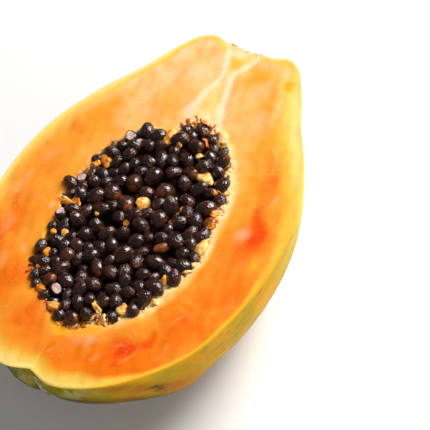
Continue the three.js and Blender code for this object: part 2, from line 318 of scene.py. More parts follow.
CREAM_SPOTS = (
    (77.8, 1.8, 2.4, 7.0, 0, 1.0), (46.5, -5.0, 5.0, 2.4, 160, 0.9), (43.0, 7.0, 5.0, 2.8, 150, 0.9),
    (64.5, 0.6, 4.0, 2.0, 160, 0.8), (43.5, -2.0, 2.0, 7.0, 0, 0.6),
)
MILKY_SPOTS = (
    (36.4, -36.5, 7.5, 1.8, 30, 0.35), (2.0, -42.6, 4.0, 2.0, 10, 0.5), (30.0, -33.0, 7.0, 2.5, 30, 0.3),
    (50.0, -22.0, 9.0, 4.0, 35, 0.45), (58.0, 24.0, 8.0, 5.0, 0, 0.5), (40.0, 30.0, 9.0, 4.0, 150, 0.5),
    (-30.0, 46.0, 8.0, 4.0, 20, 0.35), (-45.0, 38.0, 7.0, 4.0, 50, 0.35), (-10.0, 50.5, 9.0, 4.0, 5, 0.4),
    (-60.2, -12.6, 3.2, 5.4, 20, 0.5), (-14.2, 33.4, 2.6, 2.4, 0, 0.8), (-34.7, 33.0, 3.0, 2.0, 20, 0.5),
    (20.0, -45.0, 5.0, 2.0, 30, 0.35), (60.0, 17.0, 9.0, 5.0, 150, 0.35), (5.0, 48.0, 9.0, 4.0, 160, 0.3),
)


def spots(points, places):
    """The highest, over a list of ovals, of strength times a bell that falls to 1/e at the oval."""
    best = np.zeros(points.shape[:-1])
    for x, y, half_length, half_width, degrees, strength in places:
        c, s = np.cos(np.radians(degrees)), np.sin(np.radians(degrees))
        dx, dy = points[..., 0] - x, points[..., 1] - y
        bell = np.exp(-(((c * dx + s * dy) / half_length) ** 2) - ((c * dy - s * dx) / half_width) ** 2)
        best = np.maximum(best, strength * bell)
    return best


def distance_to(points, line):
    """Distance from each point to the nearest place on a line of straight pieces."""
    a, b = line[:-1], line[1:]
    passed = ((points[..., None, :] - a) * (b - a)).sum(-1) / ((b - a) ** 2).sum(-1)
    nearest = a + np.clip(passed, 0, 1)[..., None] * (b - a)
    return np.linalg.norm(points[..., None, :] - nearest, axis=-1).min(axis=-1)


flat = face_grid[..., :2]
x, y = flat[..., 0], flat[..., 1]
near = y < 0
wander = shaken(flat, 1.4, 12, 4)
pale_width = np.where(near, np.interp(x, PALE_AT, PALE_WIDTH_NEAR), np.interp(x, PALE_AT, PALE_WIDTH_FAR))
pale_width *= 1 + 0.18 * ripple(flat, 17, 6)
across_share = from_skin / (from_skin + np.maximum(from_rim, 0) + 0.01)
middle_band = np.exp(-(((across_share - 0.42) / 0.28) ** 2))
ripe = np.interp(x, RIPE_AT, RIPE_SHARES) + spots(flat, RIPE_SPOTS)
ripe += middle_band * np.where(near, 0.3, 0.16) * smooth(70, 20, x)
ripe += 0.07 * ripple(wander, 22, 8) + 0.03 * ripple(wander, 8, 9) - 0.08
ripe -= np.where(y > 0, 0.4, 0.0) * np.exp(-from_skin / 5.0)
around_hollow = np.degrees(np.arctan2(y, x - HOLLOW_MIDDLE[0]))
lining_width = np.interp(around_hollow, LINING_ANGLES, LINING_WIDTHS) * (1 + 0.22 * ripple(flat, 8, 7))
near_side = smooth(4, -4, y + 0.12 * (x - HOLLOW_MIDDLE[0]))
from_lining = from_rim + (from_oval - from_rim) * near_side * 0.5
left_edge = np.interp(x, *VEIN_LEFT[::-1].T)
right_edge = np.interp(x, *VEIN_RIGHT[::-1].T)
between = smooth(-1.5, 1.0, left_edge - y) * smooth(-1.5, 1.0, y - right_edge)
swaying = wander * 0.25 + flat * 0.75
off_vein = np.minimum(distance_to(swaying, VEIN_LEFT), distance_to(swaying, VEIN_RIGHT))
vein = np.exp(-((off_vein / np.interp(x, (38, 50, 80), (3.0, 1.9, 1.2))) ** 2)) * smooth(36, 46, x)
off_thread = np.minimum.reduce([distance_to(wander * 0.6 + flat * 0.4, line) for line in THREADS])
face_facts = {
    "from_skin": from_skin,
    "from_rim": from_rim,
    "pale": 1 - np.clip(from_skin / pale_width / 1.7, 0, 1),
    "creamy": np.where(near, np.interp(x, CREAMY_AT, CREAMY_NEAR), CREAMY_FAR),
    "ripe": ripe,
    "lining": 1 - np.clip((from_lining / lining_width - 0.25) / 1.35, 0, 1),
    "pith": between * smooth(38, 44, x),
    "vein": np.maximum(vein, spots(wander, CREAM_SPOTS)),
    "thread": np.exp(-((off_thread / 0.75) ** 2)) * (0.6 + 0.4 * ripple(flat, 9, 10)),
    "red": spots(wander, RED_SPOTS),
    "gold": spots(wander, GOLD_SPOTS),
    # painted shade and glow close to the hollow's rim
    "rim_shade_glow": smooth(2.6, 0.2, from_rim) * np.interp(around_hollow, RIM_SHADE_ANGLES, RIM_SHADE_SHARES),
    "milky": spots(wander, MILKY_SPOTS),
}


def srgb(red, green, blue):
    """A colour given as 0 to 255 on a screen, as linear red, green, blue and 1."""
    value = np.array((red, green, blue)) / 255
    linear = np.where(value <= 0.04045, value / 12.92, ((value + 0.055) / 1.055) ** 2.4)
    return (*linear.tolist(), 1.0)


class Nodes:
    """Short ways to add shader nodes to one tree. An input is a number, a colour or an output."""

    def __init__(self, tree):
        self.tree = tree

    def add(self, kind, inputs, output=0, **settings):
        """A node with its settings and inputs, linked or set. Returns one of its outputs."""
        node = self.tree.nodes.new(kind)
        for key, value in settings.items():
            setattr(node, key, value)
        for key, value in inputs.items():
            if isinstance(value, bpy.types.NodeSocket):
                self.tree.links.new(value, node.inputs[key])
            else:
                node.inputs[key].default_value = value
        return node.outputs[output]

    def math(self, operation, a, b=0.0, clamp=False):
        """The named operation on a and b, held between 0 and 1 with clamp."""
        return self.add("ShaderNodeMath", {0: a, 1: b}, operation=operation, use_clamp=clamp)

    def plus(self, a, b, clamp=False):
        """The sum of a and b."""
        return self.math("ADD", a, b, clamp)

    def times(self, a, b, clamp=False):
        """The product of a and b."""
        return self.math("MULTIPLY", a, b, clamp)

    def mix(self, factor, a, b, blend="MIX"):
        """Colour a where the factor is 0 and colour b where it is 1."""
        return self.add(
            "ShaderNodeMix", {0: factor, 6: a, 7: b}, output=2, data_type="RGBA", blend_type=blend)

    def ramp(self, value, low, high, out_low=0.0, out_high=1.0):
        """out_low where the value is low, out_high where it is high, and an S-curve between."""
        inputs = {0: value, 1: low, 2: high, 3: out_low, 4: out_high}
        return self.add("ShaderNodeMapRange", inputs, interpolation_type="SMOOTHSTEP")

    def fact(self, name, output="Fac"):
        """A value that the mesh carries at its points."""
        return self.add("ShaderNodeAttribute", {}, output=output, attribute_name=name)

    def place(self):
        """Where each point lies in its object, in metres."""
        return self.add("ShaderNodeTexCoord", {}, output="Object")

    def split(self, vector):
        """The three parts X, Y and Z of a vector."""
        return self.add("ShaderNodeSeparateXYZ", {0: vector}).node.outputs

    def stretch(self, vector, scale):
        """Each part of a vector times its own part of scale."""
        return self.add("ShaderNodeVectorMath", {0: vector, 1: scale}, operation="MULTIPLY")

    def shift(self, vector, by):
        """The sum of two vectors."""
        return self.add("ShaderNodeVectorMath", {0: vector, 1: by}, operation="ADD")

    def noise(self, vector, scale, detail=4.0, roughness=0.55, distortion=0.0, output="Fac"):
        """Cloudy noise from 0 to 1, with so many clouds to a metre."""
        inputs = {
            "Vector": vector, "Scale": scale, "Detail": detail, "Roughness": roughness,
            "Distortion": distortion,
        }
        return self.add("ShaderNodeTexNoise", inputs, output=output)

    def swing(self, vector, scale, detail=4.0, roughness=0.55, distortion=0.0):
        """The same noise less a half, so that it swings about zero."""
        return self.math("SUBTRACT", self.noise(vector, scale, detail, roughness, distortion), 0.5)

    def bump(self, height, strength, depth):
        """A normal that rises and falls with height, by a depth in millimetres."""
        inputs = {"Strength": strength, "Distance": depth * MM, "Height": height}
        return self.add("ShaderNodeBump", inputs)

    def finish(self, inputs):
        """The shader of a material, joined to its output."""
        shader = self.add("ShaderNodeBsdfPrincipled", inputs)
        self.add("ShaderNodeOutputMaterial", {"Surface": shader}, output=slice(None))


def new_material(name):
    """An empty node material and short ways to add to it."""
    material = bpy.data.materials.new(name)
    material.use_nodes = True
    material.node_tree.nodes.clear()
    return material, Nodes(material.node_tree)


# Moist grain: plant cells that swell and burst at a cut. It darkens and lightens the colour
# a little, raises a fine bump, and scatters small wet glints where the roughness is low.
CELL_PITCH = 0.9 / MM
moist_grain = bpy.data.node_groups.new("moist_grain", "ShaderNodeTree")
for key, form, normal_value in (
    ("Vector", "Vector", None), ("Color", "Color", (1, 1, 1, 1)), ("Size", "Float", 1.0),
    ("Contrast", "Float", 0.1),
):
    socket = moist_grain.interface.new_socket(key, in_out="INPUT", socket_type="NodeSocket" + form)
    if normal_value is not None:
        socket.default_value = normal_value
for key, form in (("Color", "Color"), ("Height", "Float"), ("Roughness", "Float")):
    moist_grain.interface.new_socket(key, in_out="OUTPUT", socket_type="NodeSocket" + form)
n = Nodes(moist_grain)
given = moist_grain.nodes.new("NodeGroupInput").outputs
cell_scale = n.math("DIVIDE", CELL_PITCH, given["Size"])
cells = n.noise(given["Vector"], cell_scale, 3, 0.6)
patches = n.noise(given["Vector"], n.times(cell_scale, 0.22), 3, 0.55)
both = n.plus(n.times(cells, 0.55), n.times(patches, 0.45))
swing = n.times(n.math("SUBTRACT", both, 0.5), given["Contrast"])
shade = n.plus(1.0, n.times(swing, 2.0))
grey = n.add("ShaderNodeCombineColor", {0: shade, 1: shade, 2: shade})
grain_outputs = {
    "Color": n.mix(1.0, given["Color"], grey, "MULTIPLY"),
    "Height": both,
    "Roughness": n.ramp(cells, 0.35, 0.65, 0.28, 0.5),
}
n.add("NodeGroupOutput", grain_outputs, output=slice(None))


def with_grain(n, vector, color, size, contrast):
    """The grain group placed in a material: its color, height and roughness outputs."""
    inputs = {"Vector": vector, "Color": color, "Size": size, "Contrast": contrast}
    return n.add("ShaderNodeGroup", inputs, output=slice(None), node_tree=moist_grain)


FLESH_PEACH = srgb(247, 200, 142)
FLESH_ORANGE = srgb(244, 160, 50)
FLESH_DEEP = srgb(240, 116, 8)
FLESH_RED = srgb(232, 56, 0)
THREAD_PEACH = srgb(252, 166, 92)
PALE_YELLOW = srgb(242, 186, 58)
PALE_CREAM = srgb(246, 222, 138)
LINING_CREAM = srgb(253, 208, 134)
LINING_PALE = srgb(254, 224, 166)
LINING_GOLD = srgb(249, 164, 34)
LINING_WARM = srgb(248, 178, 76)
VEIN_CREAM = srgb(249, 220, 188)
PITH = srgb(247, 208, 128)
GOLD = srgb(250, 172, 26)
# Red brown of the painted shade and glow at the hollow's rim.
RIM_SHADE_RED = srgb(196, 70, 12)
# Dark brown of the painted shade deep in the hollow; the tan below is the lining's own colour.
WALL_SHADE_BROWN = srgb(160, 76, 24)
WALL_TAN = srgb(232, 150, 64)
MILKY = srgb(252, 206, 170)
SKIN_LINE_YELLOW = srgb(243, 176, 10)
SKIN_LINE_GREEN = srgb(150, 150, 40)
SKIN_LINE_PALE = srgb(216, 208, 112)
VESICLE = srgb(253, 200, 124)
LIGHT_REACH = (1.0, 0.5, 0.25)  # how much further red light goes in than green and blue

flesh_material, n = new_material("papaya_flesh")
place = n.place()
x_place, y_place, _ = n.split(place)
broken = n.swing(place, 240, 4, 0.65)
mottle = n.swing(place, 60, 5, 0.62, 0.5)
ripeness = n.plus(n.fact("ripe"), n.times(mottle, 0.38))
color = n.mix(n.ramp(ripeness, 0.05, 0.55), FLESH_PEACH, FLESH_ORANGE)
color = n.mix(n.ramp(ripeness, 0.4, 0.98), color, FLESH_DEEP)

# Paler threads run through the flesh like a net, where the fruit's veins were cut.
bent = n.shift(place, n.stretch(n.noise(place, 60, 2, 0.5, output="Color"), (0.016, 0.016, 0.016)))
net = n.add("ShaderNodeTexVoronoi", {"Vector": bent, "Scale": 62.0}, feature="DISTANCE_TO_EDGE")
net = n.times(n.ramp(net, 0.12, 0.0), n.ramp(n.noise(place, 42, 2), 0.46, 0.66))
color = n.mix(n.times(net, 0.5), color, FLESH_ORANGE)


def patch(name, strength, low, high, roughly=0.45):
    """A mask from a fact of the cut face, with noise added where the fact is above zero."""
    fact = n.fact(name)
    uneven = n.plus(fact, n.times(n.times(broken, roughly), n.ramp(fact, 0.0, 0.2)))
    return n.times(n.ramp(uneven, low, high), strength)


color = n.mix(patch("red", 0.85, 0.05, 1.05, 0.35), color, FLESH_RED)
color = n.mix(patch("milky", 0.5, 0.1, 0.8), color, MILKY)

# Burst juice cells show as small pale grains in loose clusters, more of them in milky places.
cells = n.add("ShaderNodeTexVoronoi", {"Vector": place, "Scale": 760.0, "Randomness": 1.0})
clusters = n.plus(n.ramp(n.noise(place, 95, 3, 0.6), 0.5, 0.72), n.fact("milky"), clamp=True)
color = n.mix(n.times(n.ramp(cells, 0.34, 0.12), n.times(clusters, 0.32)), color, VESICLE)

# Towards the skin the flesh pales, and round the hollow it is lined with cream and gold.
paling = n.plus(n.fact("pale"), n.times(mottle, 0.5), clamp=True)
color = n.mix(n.ramp(paling, 0.0, 0.75), color, PALE_YELLOW)
color = n.mix(n.times(n.ramp(paling, 0.4, 1.0), n.fact("creamy")), color, PALE_CREAM)
gold_side = n.ramp(x_place, -0.056, -0.040)
lining_color = n.mix(gold_side, LINING_GOLD, LINING_CREAM)
color = n.mix(patch("lining", 0.8, 0.0, 0.7, 0.5), color, LINING_WARM)
color = n.mix(patch("lining", 0.9, 0.35, 1.0, 0.7), color, lining_color)
color = n.mix(n.times(gold_side, patch("lining", 0.75, 0.72, 1.0, 0.9)), color, LINING_PALE)
color = n.mix(patch("pith", 0.7, 0.1, 0.9), color, PITH)
color = n.mix(patch("gold", 0.85, 0.15, 0.8), color, GOLD)
color = n.mix(patch("thread", 0.45, 0.1, 1.0, 1.2), color, THREAD_PEACH)
color = n.mix(patch("vein", 0.75, 0.1, 1.1, 0.6), color, VEIN_CREAM)

# The rind's own line along the edge of the cut, green at the blossom end and pale at the stem.
line_color = n.mix(n.ramp(x_place, -0.082, -0.073), SKIN_LINE_GREEN, SKIN_LINE_YELLOW)
line_color = n.mix(n.ramp(x_place, 0.0, 0.035), line_color, SKIN_LINE_PALE)
line = n.ramp(n.plus(n.fact("from_skin"), n.times(broken, 0.5)), 1.2, 0.2)
line_share = n.times(n.ramp(x_place, 0.082, 0.060, 0.25, 0.85), n.ramp(y_place, 0.02, -0.03, 0.3, 1.0))
color = n.mix(n.times(line, line_share), color, line_color)
# Painted shade and glow: close to the hollow's rim the flesh turns red brown, most on the far side, where
# the seeds shade it and light shines through it.
color = n.mix(patch("rim_shade_glow", 0.8, 0.15, 1.1, 1.6), color, RIM_SHADE_RED)
# Down the hollow's wall, from 2 to 9 mm below the rim, the colour turns tan or dark brown: partly the
# lining's own colour, partly painted shade that deepens down the hollow.
wall_tone_and_shade = n.mix(n.ramp(n.fact("lining"), 0.2, 0.8), WALL_SHADE_BROWN, WALL_TAN)
color = n.mix(n.ramp(n.fact("from_rim"), -2.0, -9.0), color, wall_tone_and_shade)
color, height, roughness = with_grain(n, place, color, 1.0, 0.12)
n.finish({
    "Base Color": color, "Roughness": roughness, "Normal": n.bump(height, 0.5, 0.3),
    "Subsurface Weight": 0.2, "Subsurface Radius": LIGHT_REACH, "Subsurface Scale": 2.5 * MM,
    "Coat Weight": 0.06, "Coat Roughness": 0.2, "Specular IOR Level": 0.22,
})

SKIN_PALE = srgb(250, 222, 88)
SKIN_YELLOW = srgb(228, 176, 8)
SKIN_OLIVE = srgb(178, 146, 6)
SKIN_GOLD = srgb(232, 150, 4)
SKIN_GREEN = srgb(120, 118, 12)
SKIN_DUST = srgb(186, 186, 120)
SKIN_AMBER = srgb(182, 104, 2)
# Dark brown of the painted shade on the skin's underside.
SKIN_SHADE_DARK = srgb(66, 44, 4)
SKIN_BRUISE = srgb(70, 48, 8)
SKIN_SPECK = srgb(112, 56, 34)
SKIN_SCAR = srgb(206, 200, 176)

skin_material, n = new_material("papaya_skin")
place = n.place()
x_place = n.split(place)["X"]
lengthwise = n.stretch(place, (0.25, 1.0, 1.0))
cloud = n.noise(place, 26, 4, 0.6)
streak = n.noise(lengthwise, 170, 4, 0.62)
drop = n.fact("drop")
color = n.mix(n.ramp(cloud, 0.34, 0.66), SKIN_YELLOW, SKIN_OLIVE)
color = n.mix(n.times(n.ramp(streak, 0.4, 0.72), 0.55), color, SKIN_OLIVE)
ripening = n.ramp(n.noise(n.stretch(place, (0.55, 1.0, 1.0)), 105, 4, 0.65, 0.4), 0.44, 0.62)
color = n.mix(n.times(ripening, n.ramp(x_place, 0.02, -0.03, 0.15, 0.7)), color, SKIN_GOLD)
paler = n.times(n.ramp(x_place, -0.02, 0.06), n.ramp(drop, 40.0, 2.0))
color = n.mix(n.times(paler, 0.85), color, SKIN_PALE)
amber = n.times(n.ramp(n.noise(place, 60, 3, 0.5), 0.28, 0.5), n.fact("amber"))
color = n.mix(amber, color, SKIN_AMBER)
greener = n.plus(n.ramp(x_place, -0.066, -0.081), n.times(n.ramp(cloud, 0.56, 0.7), 0.3))
greener = n.plus(greener, n.times(n.fact("dark_patch"), n.ramp(streak, 0.35, 0.6)), clamp=True)
color = n.mix(n.times(greener, 0.8), color, SKIN_GREEN)
dusty = n.times(n.ramp(n.noise(place, 150, 3, 0.6), 0.42, 0.62), n.ramp(x_place, -0.072, -0.079))
color = n.mix(n.times(dusty, 0.6), color, SKIN_DUST)
color = n.mix(n.times(n.fact("bruise"), n.ramp(streak, 0.3, 0.6)), color, SKIN_BRUISE)
# Painted shade: the skin turns dark brown towards the bottom, and along its lower edge near the blossom
# end, where the underside lies in shadow.
under = n.ramp(n.plus(drop, n.times(cloud, 12.0)), 40.0, 58.0)
color = n.mix(n.times(under, 0.8), color, SKIN_SHADE_DARK)
color = n.mix(n.times(n.fact("bottom_shade"), n.ramp(cloud, 0.2, 0.6, 0.55, 0.8)), color, SKIN_SHADE_DARK)
speck = n.noise(n.stretch(place, (0.36, 1.0, 1.0)), 800, 2, 0.5)
speck_zone = n.times(n.ramp(n.noise(place, 60, 3), 0.38, 0.6), n.ramp(drop, 30.0, 16.0))
specks = n.times(n.ramp(speck, 0.6, 0.7), speck_zone)
color = n.mix(n.times(specks, 0.55), color, SKIN_SPECK)
scar_lines = n.ramp(n.noise(lengthwise, 330, 3, 0.6), 0.42, 0.6)
color = n.mix(n.times(scar_lines, n.fact("scar")), color, SKIN_SCAR)
edge_line = n.times(n.ramp(drop, 2.4, 0.0), n.ramp(x_place, -0.079, -0.068))
color = n.mix(n.times(edge_line, 0.8), color, SKIN_LINE_YELLOW)
pores = n.noise(place, 1500, 2, 0.5)
n.finish({
    "Base Color": color, "Roughness": n.ramp(streak, 0.3, 0.7, 0.4, 0.55), "Specular IOR Level": 0.05,
    "Normal": n.bump(n.plus(n.times(pores, 0.5), streak), 0.3, 0.2),
})

# Places on the skin: distance from the blossom tip, turn from straight down, spread.
AMBER_PLACES = ((26, -66, 7), (33, -52, 9), (16, -75, 5), (11, -82, 4), (40, -42, 12), (100, 20, 18))
DARK_PLACES = ((44, -46, 4), (64, 30, 9))
BRUISE_PLACES = ((22, -71, 2.2), (20, -73, 1.8), (22, -67, 2.0), (23, -63, 1.6))
STREAK_TURNS = (-34, -28)  # the dry streaks that run out of the blossom dimple
STREAK_WIDTH = 1.3
# Drops below the cut face, by distance from the blossom tip, where the painted shade along the skin's lower
# edge begins.
BOTTOM_SHADE_AT, BOTTOM_SHADE_DROPS = (0, 8, 14, 22, 28, 44, 80), (5, 9, 12, 20, 25, 36, 44)


def skin_places(places):
    """The highest, over a list of round places on the skin, of a bell around each."""
    best = np.zeros(skin.shape[:2])
    for at, degrees, spread in places:
        off = (turn - np.radians(degrees)) * skin_radius
        best = np.maximum(best, np.exp(-((along - at) ** 2 + off**2) / spread**2))
    return best


off_streak = np.min([np.abs(turn - np.radians(degrees)) for degrees in STREAK_TURNS], axis=0) * skin_radius
streak_run = smooth(34, 12, skin_radius) * smooth(1, 4, skin_radius) * (along < LENGTH / 2)
skin_drop = CUT_HEIGHT - skin[..., 2]
skin_facts = {
    "drop": skin_drop,
    "scar": np.exp(-((off_streak / STREAK_WIDTH) ** 2)) * streak_run,
    "amber": skin_places(AMBER_PLACES),
    "dark_patch": skin_places(DARK_PLACES),
    "bruise": skin_places(BRUISE_PLACES),
    # painted shade along the skin's lower edge
    "bottom_shade": smooth(-2, 7, skin_drop - np.interp(along, BOTTOM_SHADE_AT, BOTTOM_SHADE_DROPS)),
}
skin_count, face_count = turn.size, x.size
facts = {key: np.concatenate((np.zeros(skin_count), values.ravel())) for key, values in face_facts.items()}
facts |= {key: np.concatenate((values.ravel(), np.zeros(face_count))) for key, values in skin_facts.items()}
skin_quads = grid_quads(*skin.shape[:2])[:, ::-1]
face_quads = grid_quads(*face_grid.shape[:2], wrap=True)
fruit = add_piece(
    "papaya_rind_and_flesh",
    np.vstack((skin.reshape(-1, 3), face_grid.reshape(-1, 3))),
    np.vstack((skin_quads, face_quads + skin_count)),
    (flesh_material, skin_material),
    facts,
    np.repeat((1, 0), (len(skin_quads), len(face_quads))),
)
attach(fruit, "root")
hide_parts("flesh")

# ---------------------------------------------------------------------------------------
# Seeds. Egg-shaped, 5 to 7.5 mm long, near black and ridged, each in a clear slippery coat
# that shines. They grow on the hollow's wall and lie heaped up to the cut, a little proud.

TOP_SEEDS = np.array((  # x, y, mean diameter, kind: 0 plump, 1 wrinkled, 2 dark
    (38.5, -2.3, 5.7, 1), (35.3, 3.2, 5.3, 2), (35.5, -9.0, 5.4, 1), (31.8, -16.0, 4.6, 1),
    (28.5, -17.8, 4.8, 1), (32.5, -0.8, 4.6, 0), (30.2, 1.8, 5.2, 1), (29.8, -4.5, 6.2, 2),
    (30.3, -12.5, 4.4, 1), (27.4, -12.9, 4.8, 2), (24.0, -13.8, 6.2, 2), (24.3, -4.2, 5.8, 0),
    (23.0, -19.0, 5.0, 2), (18.3, -23.3, 6.2, 0), (19.5, -9.8, 6.4, 0), (20.3, -0.5, 5.2, 2),
    (16.3, -3.2, 5.8, 1), (24.0, 8.3, 4.8, 1), (24.0, 2.8, 4.8, 2), (29.0, 17.5, 6.0, 2),
    (28.8, 12.3, 6.0, 2), (23.5, 13.5, 5.6, 1), (20.2, 4.8, 5.8, 1), (19.3, 22.6, 4.8, 1),
    (19.8, 18.0, 4.8, 2), (16.5, 16.8, 5.8, 1), (16.5, 9.0, 6.0, 2), (15.0, 24.5, 5.0, 1),
    (11.0, 28.4, 4.8, 1), (10.6, 20.9, 5.2, 1), (7.0, 19.6, 5.0, 2), (9.5, 14.9, 4.8, 2),
    (5.4, 14.7, 5.4, 0), (5.8, 8.3, 6.4, 0), (11.6, 3.6, 6.6, 0), (4.3, 1.2, 5.4, 0),
    (12.0, 9.2, 4.6, 2), (12.6, 13.2, 4.6, 2), (6.8, 25.5, 4.6, 1), (5.0, 22.6, 4.4, 2),
    (2.6, 26.0, 5.0, 1), (2.4, 19.0, 4.6, 2), (-0.5, 22.4, 5.2, 2), (-0.9, 14.0, 6.4, 0),
    (-5.9, 19.0, 6.8, 0), (-3.8, 6.3, 6.4, 0), (-6.5, 10.9, 4.8, 1), (-9.4, 13.6, 5.0, 1),
    (-3.8, 31.1, 5.2, 1), (-8.6, 29.4, 5.2, 1), (-6.5, 24.8, 4.8, 2), (-3.6, 27.0, 4.8, 2),
    (-11.8, 19.0, 5.2, 1), (-13.4, 25.2, 5.0, 2), (-9.9, 5.5, 5.8, 2), (7.3, -5.7, 6.6, 0),
    (6.6, -15.4, 6.2, 2), (7.3, -23.9, 6.4, 1), (11.8, -26.2, 4.8, 1), (2.2, -5.8, 5.0, 2),
    (1.6, -11.4, 5.6, 1), (-4.6, -9.3, 6.8, 0), (-3.8, -3.5, 5.2, 1), (2.3, -17.3, 4.8, 1),
    (-2.5, -17.7, 5.8, 1), (-0.5, -23.5, 5.8, 2), (-4.2, -28.9, 5.2, 1), (-6.1, -24.3, 5.2, 1),
    (-9.4, -20.4, 6.2, 1), (-9.8, -26.8, 5.0, 0), (-9.8, -5.0, 5.8, 1), (-10.9, -13.7, 5.8, 1),
    (-13.6, -10.4, 4.6, 2), (-13.8, -26.0, 4.9, 1), (-14.2, -31.2, 4.4, 2), (-7.3, 0.3, 5.2, 2),
    (13.3, -16.8, 5.4, 2), (13.0, -10.0, 5.0, 2), (14.6, -21.4, 4.6, 2), (-17.8, 19.9, 6.0, 2),
    (-16.5, 11.8, 6.2, 0), (-18.6, 5.1, 5.8, 0), (-22.3, 13.0, 5.8, 2), (-26.9, 13.4, 5.6, 0),
    (-24.8, 18.2, 4.6, 2), (-27.5, 21.8, 5.8, 1), (-24.4, 5.7, 5.2, 2), (-26.0, 9.3, 4.6, 2),
    (-29.6, 5.1, 5.2, 0), (-31.7, 1.1, 6.2, 0), (-33.4, 25.9, 4.8, 1), (-33.8, 13.8, 5.6, 0),
    (-30.6, 17.0, 4.6, 2), (-33.0, 19.8, 4.8, 2), (-32.4, 9.3, 4.6, 1), (-34.6, 6.2, 4.4, 2),
    (-36.4, 18.2, 4.6, 2), (-38.2, 13.0, 6.0, 0), (-38.4, 22.6, 5.2, 1), (-38.6, 3.8, 5.4, 1),
    (-41.9, 8.2, 5.6, 0), (-43.6, 14.4, 5.6, 0), (-42.2, 20.0, 4.6, 1), (-41.3, 25.6, 3.6, 1),
    (-45.2, 20.6, 4.0, 1), (-23.2, 26.4, 4.4, 1), (-21.6, 23.2, 5.2, 2), (-16.7, -0.5, 5.4, 1),
    (-16.1, -8.1, 5.2, 2), (-20.0, -10.4, 4.7, 1), (-24.0, -12.3, 5.3, 1), (-24.0, -5.2, 6.9, 0),
    (-20.9, -18.1, 6.4, 0), (-17.6, -24.8, 4.9, 1), (-18.8, -29.6, 5.6, 2), (-22.6, -24.3, 5.0, 2),
    (-24.6, -28.7, 6.0, 1), (-29.8, -10.4, 5.6, 1), (-32.3, -5.6, 5.8, 1), (-29.0, -17.4, 4.8, 2),
    (-32.8, -18.5, 6.0, 0), (-27.9, -22.5, 4.4, 2), (-30.7, -24.6, 5.8, 1), (-37.1, -23.5, 5.8, 2),
    (-36.8, -16.0, 4.8, 1), (-37.8, -10.4, 5.8, 1), (-39.0, -1.8, 6.0, 1), (-34.4, -12.7, 4.6, 1),
    (-42.3, -22.3, 4.7, 1), (-41.3, -14.7, 5.2, 1), (-42.4, -9.6, 5.2, 1), (-28.4, -3.0, 4.4, 2),
    (-46.9, 18.9, 3.8, 1), (-50.8, 12.6, 4.6, 1), (-51.0, 8.9, 4.4, 0), (-49.8, 2.8, 5.2, 1),
    (-48.8, -1.8, 4.8, 2), (-55.3, 2.3, 4.9, 2), (-54.6, -2.6, 5.2, 0), (-51.3, -7.0, 5.2, 1),
    (-48.0, -16.6, 5.0, 1), (-42.8, 0.9, 5.2, 2), (-44.8, -4.6, 4.8, 2), (-46.6, 4.6, 4.6, 1),
    (-21.5, 0.5, 4.8, 2), (-7.4, -15.6, 4.4, 2),
))
SLICED_SEEDS = np.array((  # x, y, mean diameter of the seeds that the knife cut through
    (23.5, 21.0, 4.3), (-0.5, 28.0, 3.6), (-17.7, 27.1, 4.2), (-46.7, 9.8, 4.0), (22.4, 15.8, 3.4),
))
PULP_BITS = np.array((  # x, y, length, width, turn in degrees, tone from cream 0 to brown 1
    (-1.2, 0.6, 6.0, 4.6, 30, 0.35), (18.5, -16.5, 6.0, 4.2, 60, 0.15), (26.5, -8.5, 4.6, 2.2, 40, 0.15),
    (27.8, 1.5, 2.4, 1.8, 0, 0.9), (31.2, 7.4, 6.5, 4.0, 10, 0.4), (10.8, 25.4, 5.0, 3.6, 40, 0.6),
    (-10.2, 24.6, 4.2, 2.6, 60, 0.4), (-11.4, 28.0, 8.0, 2.4, 85, 0.45), (-11.0, 0.8, 2.6, 1.8, 20, 0.6),
    (4.3, -10.8, 2.6, 1.8, 0, 0.2), (2.5, -16.8, 1.8, 1.4, 0, 0.4), (-4.5, -15.0, 2.6, 1.8, 30, 0.8),
    (-14.7, -17.2, 4.6, 3.2, 160, 1.0), (-11.2, 14.2, 2.0, 1.4, 10, 0.3), (-24.4, 21.3, 3.2, 2.2, 30, 0.25),
    (-34.4, 22.3, 3.4, 2.4, 50, 0.6), (-41.0, 21.5, 2.4, 1.6, 0, 0.3), (-46.6, -9.0, 5.0, 2.0, 60, 0.25),
    (-43.6, -18.3, 3.8, 3.2, 0, 0.2), (-50.3, -11.0, 3.4, 2.6, 60, 1.05), (1.0, -28.6, 5.4, 4.0, 20, 0.7),
    (-8.5, -31.0, 5.4, 3.6, 20, 0.15), (-16.0, -32.6, 3.0, 2.4, 0, 0.15), (-27.0, -26.4, 3.6, 2.6, 0, 0.3),
    (5.6, -28.2, 2.6, 2.0, 0, 0.5), (-48.4, 16.0, 4.4, 2.8, 70, 0.5), (-52.6, 6.0, 5.0, 3.4, 100, 0.45),
    (13.9, -23.4, 2.6, 1.6, 60, 0.5), (7.4, 26.7, 2.4, 1.8, 0, 0.5), (-25.3, 25.2, 2.4, 1.8, 0, 0.5),
))
SLICED, PULP = 3, 4  # kinds of the pieces that lie among the seeds
SEED_SCALE = 1.13  # a seed in its coat over the seed
BIT_ROOM = 0.8  # that a scrap of pulp takes up in the heap, over its mean size
TOP_SHIFT = 0.5  # of all the top places, along both X and Y
TOP_ROOM = 0.94  # that a top piece takes up, over its size
BURIED_SEEDS = 190
BURIED_SHARES = (0.3, 0.3, 0.4)  # plump, wrinkled and dark
HEAP_THICKNESS = 13.0
HEAP_TOP = 0.4  # height over the cut face that the middles of the top seeds reach
HEAP_FALL = 1.6  # how much lower the heap is at the rim
HEAP_LIMIT = 56.1  # the height that no seed passes
SETTLE_STEPS = 260
SEED_ROWS, SEED_SIDES = 7, 11


